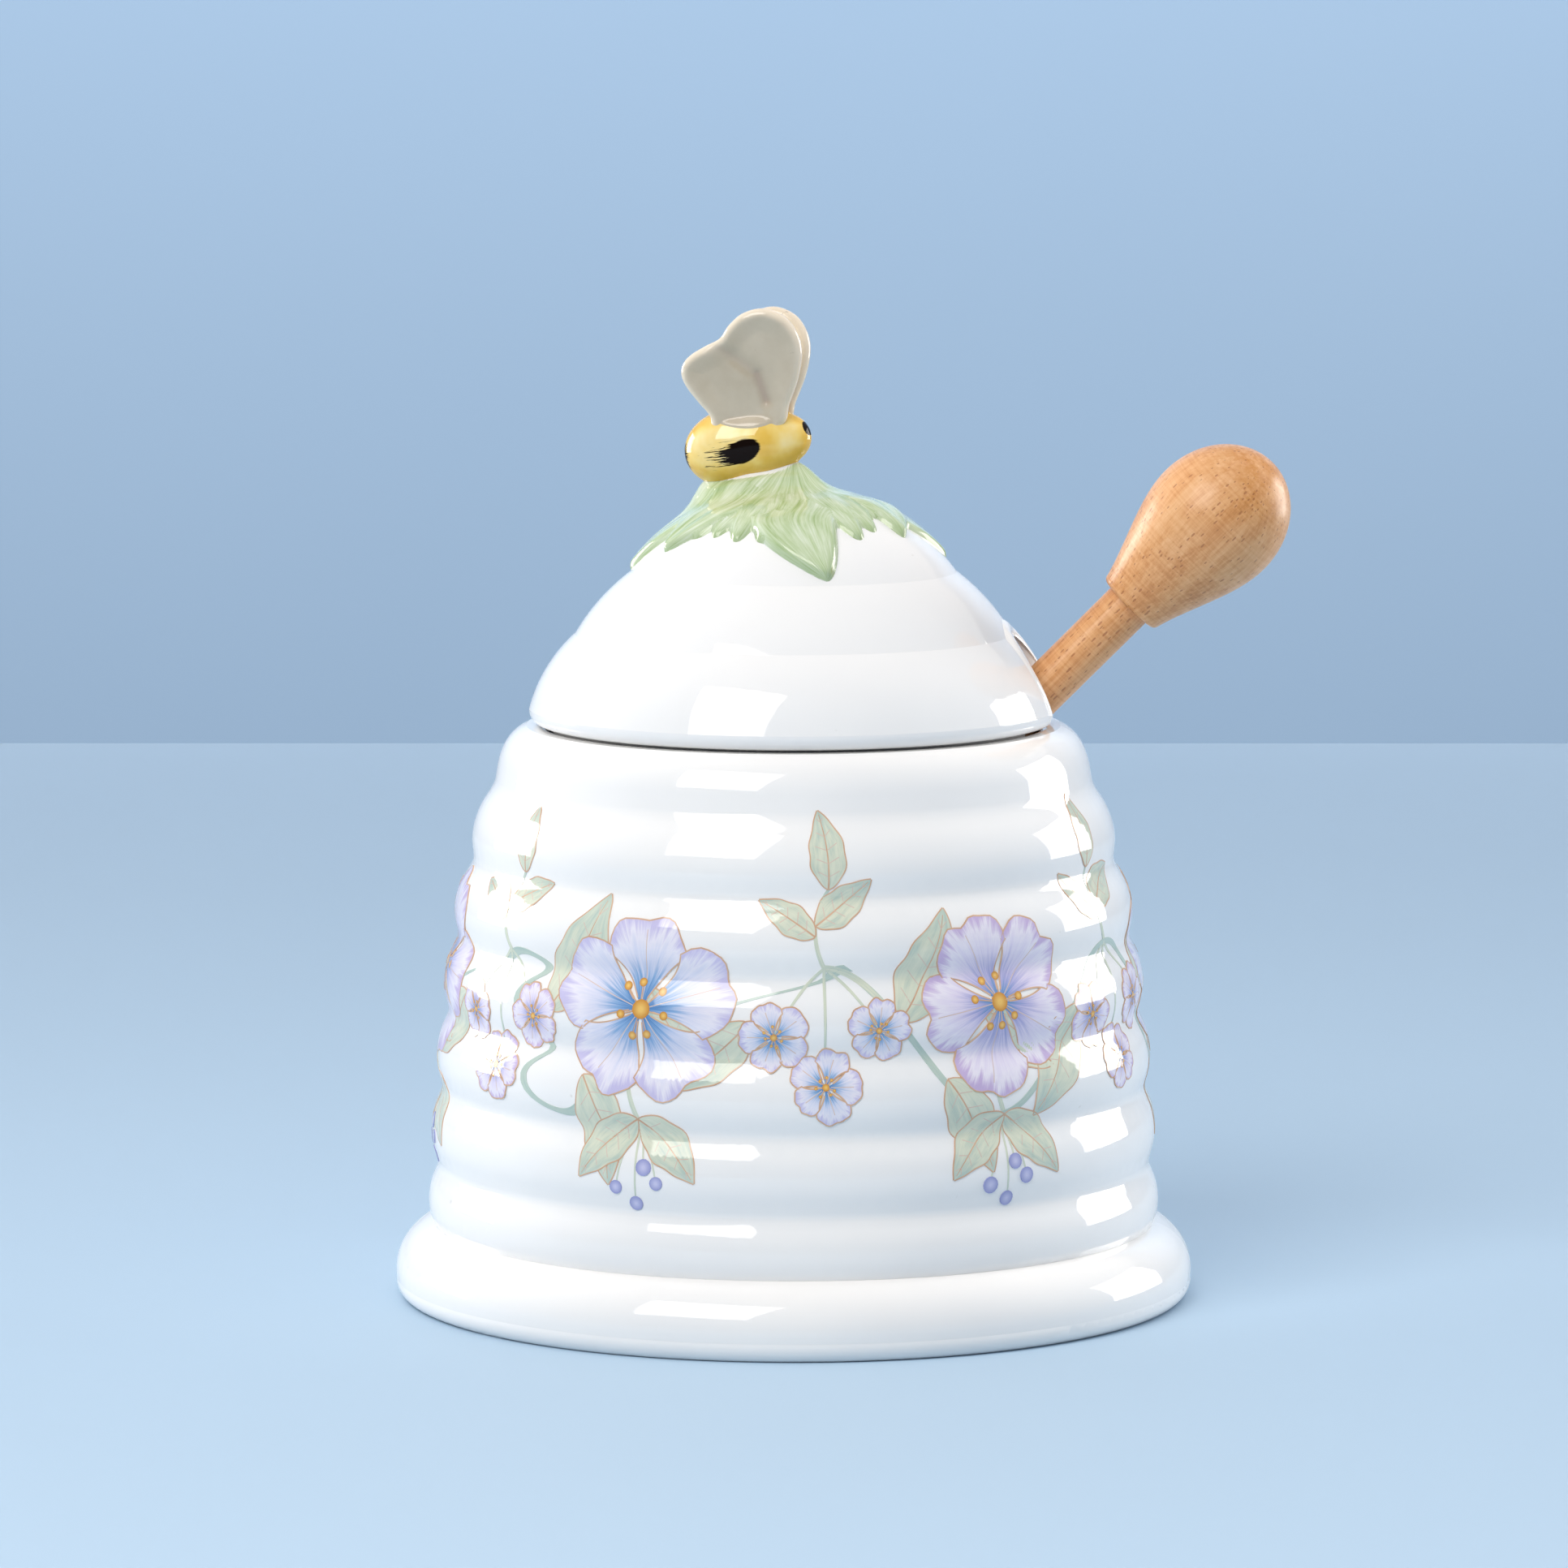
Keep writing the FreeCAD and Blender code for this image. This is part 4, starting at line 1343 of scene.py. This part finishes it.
class Vine:
    """Draws the vine's parts, each on the print that has its colours."""

    def __init__(self, chance):
        profile = wall_profile()
        self.petals, self.leaves, self.lines, self.stamens = (Print(profile) for _ in range(4))
        self.leaf_layer = self.petal_layer = 0
        self.chance = chance

    def petal(self, spot, centre, angle, length, tint):
        """A rounded petal with a small dip in its end, laid over the leaves."""
        self.petal_layer = self.petal_layer % print_petal_layers + 1
        layer = print_leaf_layers + self.petal_layer
        rows = petal_rows if length > 2 * small_blossom_radius else small_petal_rows
        u = np.linspace(petal_start_share, 1, rows)[:, None]
        v = np.linspace(-1, 1, petal_columns)[None]
        end = 1 - petal_corner_share * np.abs(v) ** petal_corner_power
        end = end - petal_dip_share * bell(v, petal_dip_width_share)
        for size, waves in petal_wobble_shares:
            end = end + size * np.sin(waves * v + self.chance.uniform(0, wobble_phase))
        reach = length * u * (1 + (end - 1) * u**petal_end_power)
        swing = v * petal_spread * (petal_root_share + (1 - petal_root_share) * u)
        points = np.stack([reach * np.cos(swing), reach * np.sin(swing)], -1)
        points = turned_by(points, angle) + centre
        strokes = np.stack(np.broadcast_arrays(v + brush_shift * self.chance.random(), u), -1)
        self.petals.lay(spot, points, strokes, layer, tint)
        outline = np.concatenate([points[2:, 0], points[-1, 1:-1], points[:1:-1, -1]])
        self.lines.ribbon(spot, outline, line_width, layer + line_layer_share)
        vein = points[1:-3, petal_columns // 2]
        vein_width = line_width * petal_vein_share
        self.lines.ribbon(spot, vein, vein_width, layer + line_layer_share, petal_vein_tint)

    def blossom(self, spot, centre, radius, tint):
        """A ring of petals round a yellow middle with its stamens."""
        centre = np.array(centre)
        first = self.chance.uniform(0, 2 * math.pi)
        for petal in range(petal_count):
            angle = first + petal * 2 * math.pi / petal_count
            self.petal(spot, centre, angle, radius * self.chance.uniform(*petal_length_shares), tint)
        self.dot(spot, centre, radius * blossom_eye_share, blossom_eye_tint)
        for stamen in range(stamen_count):
            angle = first + (stamen + self.chance.uniform(*stamen_swing_shares)) * 2 * math.pi / stamen_count
            reach = radius * self.chance.uniform(*stamen_reach_shares)
            tip = reach * np.array([math.cos(angle), math.sin(angle)])
            path = centre + np.linspace(stamen_start_share, 1, stamen_steps)[:, None] * tip
            self.lines.ribbon(spot, path, line_width * stamen_line_share, stamen_layer)
            self.dot(spot, centre + tip, radius * stamen_dot_share, self.chance.random())

    def dot(self, spot, centre, radius, tint):
        """A round dab of colour."""
        rings = np.linspace(dot_middle_share, 1, dot_rings)[:, None]
        angles = np.linspace(0, 2 * math.pi, dot_turn_steps)[None]
        points = np.stack([rings * np.cos(angles), rings * np.sin(angles)], -1) * radius + centre
        strokes = np.stack(np.broadcast_arrays(angles / math.pi - 1, rings), -1)
        self.stamens.lay(spot, points, strokes, dot_layer, tint)

    def leaf(self, spot, root, angle, length, bend):
        """A pointed oval leaf on a bent midrib, outlined and veined."""
        t = np.linspace(0, 1, leaf_rows)
        turns = angle + bend * t
        steps = np.stack([np.cos(turns), np.sin(turns)], -1) * length / (leaf_rows - 1)
        rib = np.array(root) + np.cumsum(steps, axis=0) - steps[0]
        side = np.stack([-np.sin(turns), np.cos(turns)], -1)
        wave = np.sin(print_leaf_waves * t + self.chance.uniform(0, wobble_phase))
        oval = np.sin(np.pi * t**print_leaf_lean_power) ** print_leaf_round_power
        half = length * print_leaf_half_share * oval * (1 + print_leaf_wave_share * wave)
        half = np.maximum(half, line_width * print_leaf_least_share)
        v = np.linspace(-1, 1, leaf_columns)
        points = rib[:, None] + side[:, None] * (half[:, None] * v[None])[..., None]
        brush = brush_shift * round(self.chance.random() * brush_kinds)
        strokes = np.stack(np.broadcast_arrays(v[None] + brush, t[:, None]), -1)
        self.leaf_layer = self.leaf_layer % print_leaf_layers + 1
        self.leaves.lay(spot, points, strokes, self.leaf_layer, self.chance.random())
        layer = self.leaf_layer + line_layer_share
        for edge in (points[:, 0], points[:, -1]):
            self.lines.ribbon(spot, edge, line_width * print_leaf_line_share, layer)
        self.lines.ribbon(spot, rib[:-2], np.linspace(*print_rib_shares, leaf_rows - 2) * line_width, layer)
        vein_shares = np.linspace(0, print_vein_reach_share, print_vein_steps)[:, None]
        for place in range(leaf_vein_step, leaf_rows - leaf_vein_step, leaf_vein_step):
            for column in (1, leaf_columns - 2):
                end = points[place + leaf_vein_step // 2, column]
                vein = rib[place] + vein_shares * (end - rib[place])
                self.lines.ribbon(spot, vein, line_width * print_vein_share, layer, print_vein_tint)

    def stem(self, spot, end, sag, width_share):
        """A bent stalk from a spot on the vine to an end beside it."""
        end = np.array(end)
        t = np.linspace(0, 1, stem_steps)[:, None]
        path = end * t + np.array([-end[1], end[0]]) * sag * arch(t)
        widths = np.linspace(1, stem_taper_share, stem_steps) * stem_width * width_share
        self.leaves.ribbon(spot, path, widths, 0, stem_tint)
        return path

    def cluster(self, spot, tint):
        """Three small blossoms that hang under a crest."""
        for aside, drop in cluster_shares:
            end = np.array([aside, -drop]) * blossom_radius
            self.stem(spot, end, cluster_sag_share * aside, cluster_stem_share)
            self.blossom(spot, end, small_blossom_radius * self.chance.uniform(*cluster_size_shares), tint)

    def sprig(self, spot):
        """A shoot that rises from a crest with a leaf at its end and one on each side."""
        end = (self.chance.uniform(*sprig_lean_shares) * sprig_length, sprig_length)
        path = self.stem(spot, end, sprig_sag_share, sprig_stem_share)
        for place, angle in sprig_leaf_shares:
            root = path[int((stem_steps - 1) * place)]
            length = print_leaf_length * self.chance.uniform(*sprig_leaf_length_shares)
            self.leaf(spot, root, angle, length, self.chance.uniform(*sprig_leaf_bends))

    def spray(self, spot):
        """Berries on fine stalks between two leaves under a trough."""
        for aside, drop in spray_shares:
            end = np.array([aside, -drop]) * sprig_length
            self.stem(spot, end, spray_sag_share * aside, spray_stem_share)
            self.dot(spot, end, berry_radius * self.chance.uniform(*berry_size_shares), berry_tint)
        for angle in spray_leaf_turns:
            length = print_leaf_length * self.chance.uniform(*spray_leaf_length_shares)
            self.leaf(spot, (0, 0), angle, length, spray_leaf_bend * math.cos(angle))

    def finish(self):
        self.leaves.finish("print_leaves", sage_paint(), "leaf_glaze")
        self.petals.finish("print_petals", petal_paint(), "white_porcelain")
        self.lines.finish("print_lines", line_paint(), "white_porcelain")
        self.stamens.finish("print_stamens", stamen_paint(), "bee_glaze")


def vine_height(turn):
    return vine_middle + vine_swing * np.cos(vine_waves * (turn - vine_start))


def make_print():
    """The vine in waves round the pot, with a blossom over each trough and a cluster under each crest."""
    chance = random.Random(vine_seed)
    vine = Vine(chance)
    turns = np.linspace(vine_start, vine_start + 2 * math.pi, vine_steps)
    girth = vine.leaves.radii.mean()
    path = np.stack([(turns - turns[0]) * girth, vine_height(turns) - vine_middle], -1)
    vine.leaves.ribbon((turns[0], vine_middle), path, stem_width, 0, stem_tint)
    period = 2 * math.pi / vine_waves
    for wave in range(vine_waves):
        turn = vine_start + wave * period
        crest = (turn, vine_height(turn))
        trough = (turn + period / 2, vine_height(turn + period / 2))
        tint = blossom_tints[wave % 2]
        top = (0, blossom_radius * chance.uniform(*blossom_rise_shares))
        vine.stem(trough, top, blossom_sag_share, blossom_stem_share)
        vine.blossom(trough, top, blossom_radius * chance.uniform(*blossom_size_shares), tint)
        vine.cluster(crest, 1 - tint)
        vine.sprig(crest)
        vine.spray(trough)
        for place_share, lean in vine_leaf_shares:
            leaf_turn = turn + period * place_share
            angle = lean + chance.uniform(*vine_leaf_sways)
            length = print_leaf_length * chance.uniform(*vine_leaf_length_shares)
            bend = chance.uniform(*vine_leaf_bends)
            vine.leaf((leaf_turn, vine_height(leaf_turn)), (0, 0), angle, length, bend)
    vine.finish()


make_camera()
make_lights(make_stage())
make_world()
white_glaze = porcelain()
dress_solids(white_glaze)
make_print()
make_collar(leaf_paint())
make_lip(white_glaze)
make_bee(bee_paint())
wing_glaze = wing_paint()
make_wing("wing_near", -1, near_wing_share, "bee_wing_near", wing_glaze)
make_wing("wing_far", 1, far_wing_share, "bee_wing_far", wing_glaze)
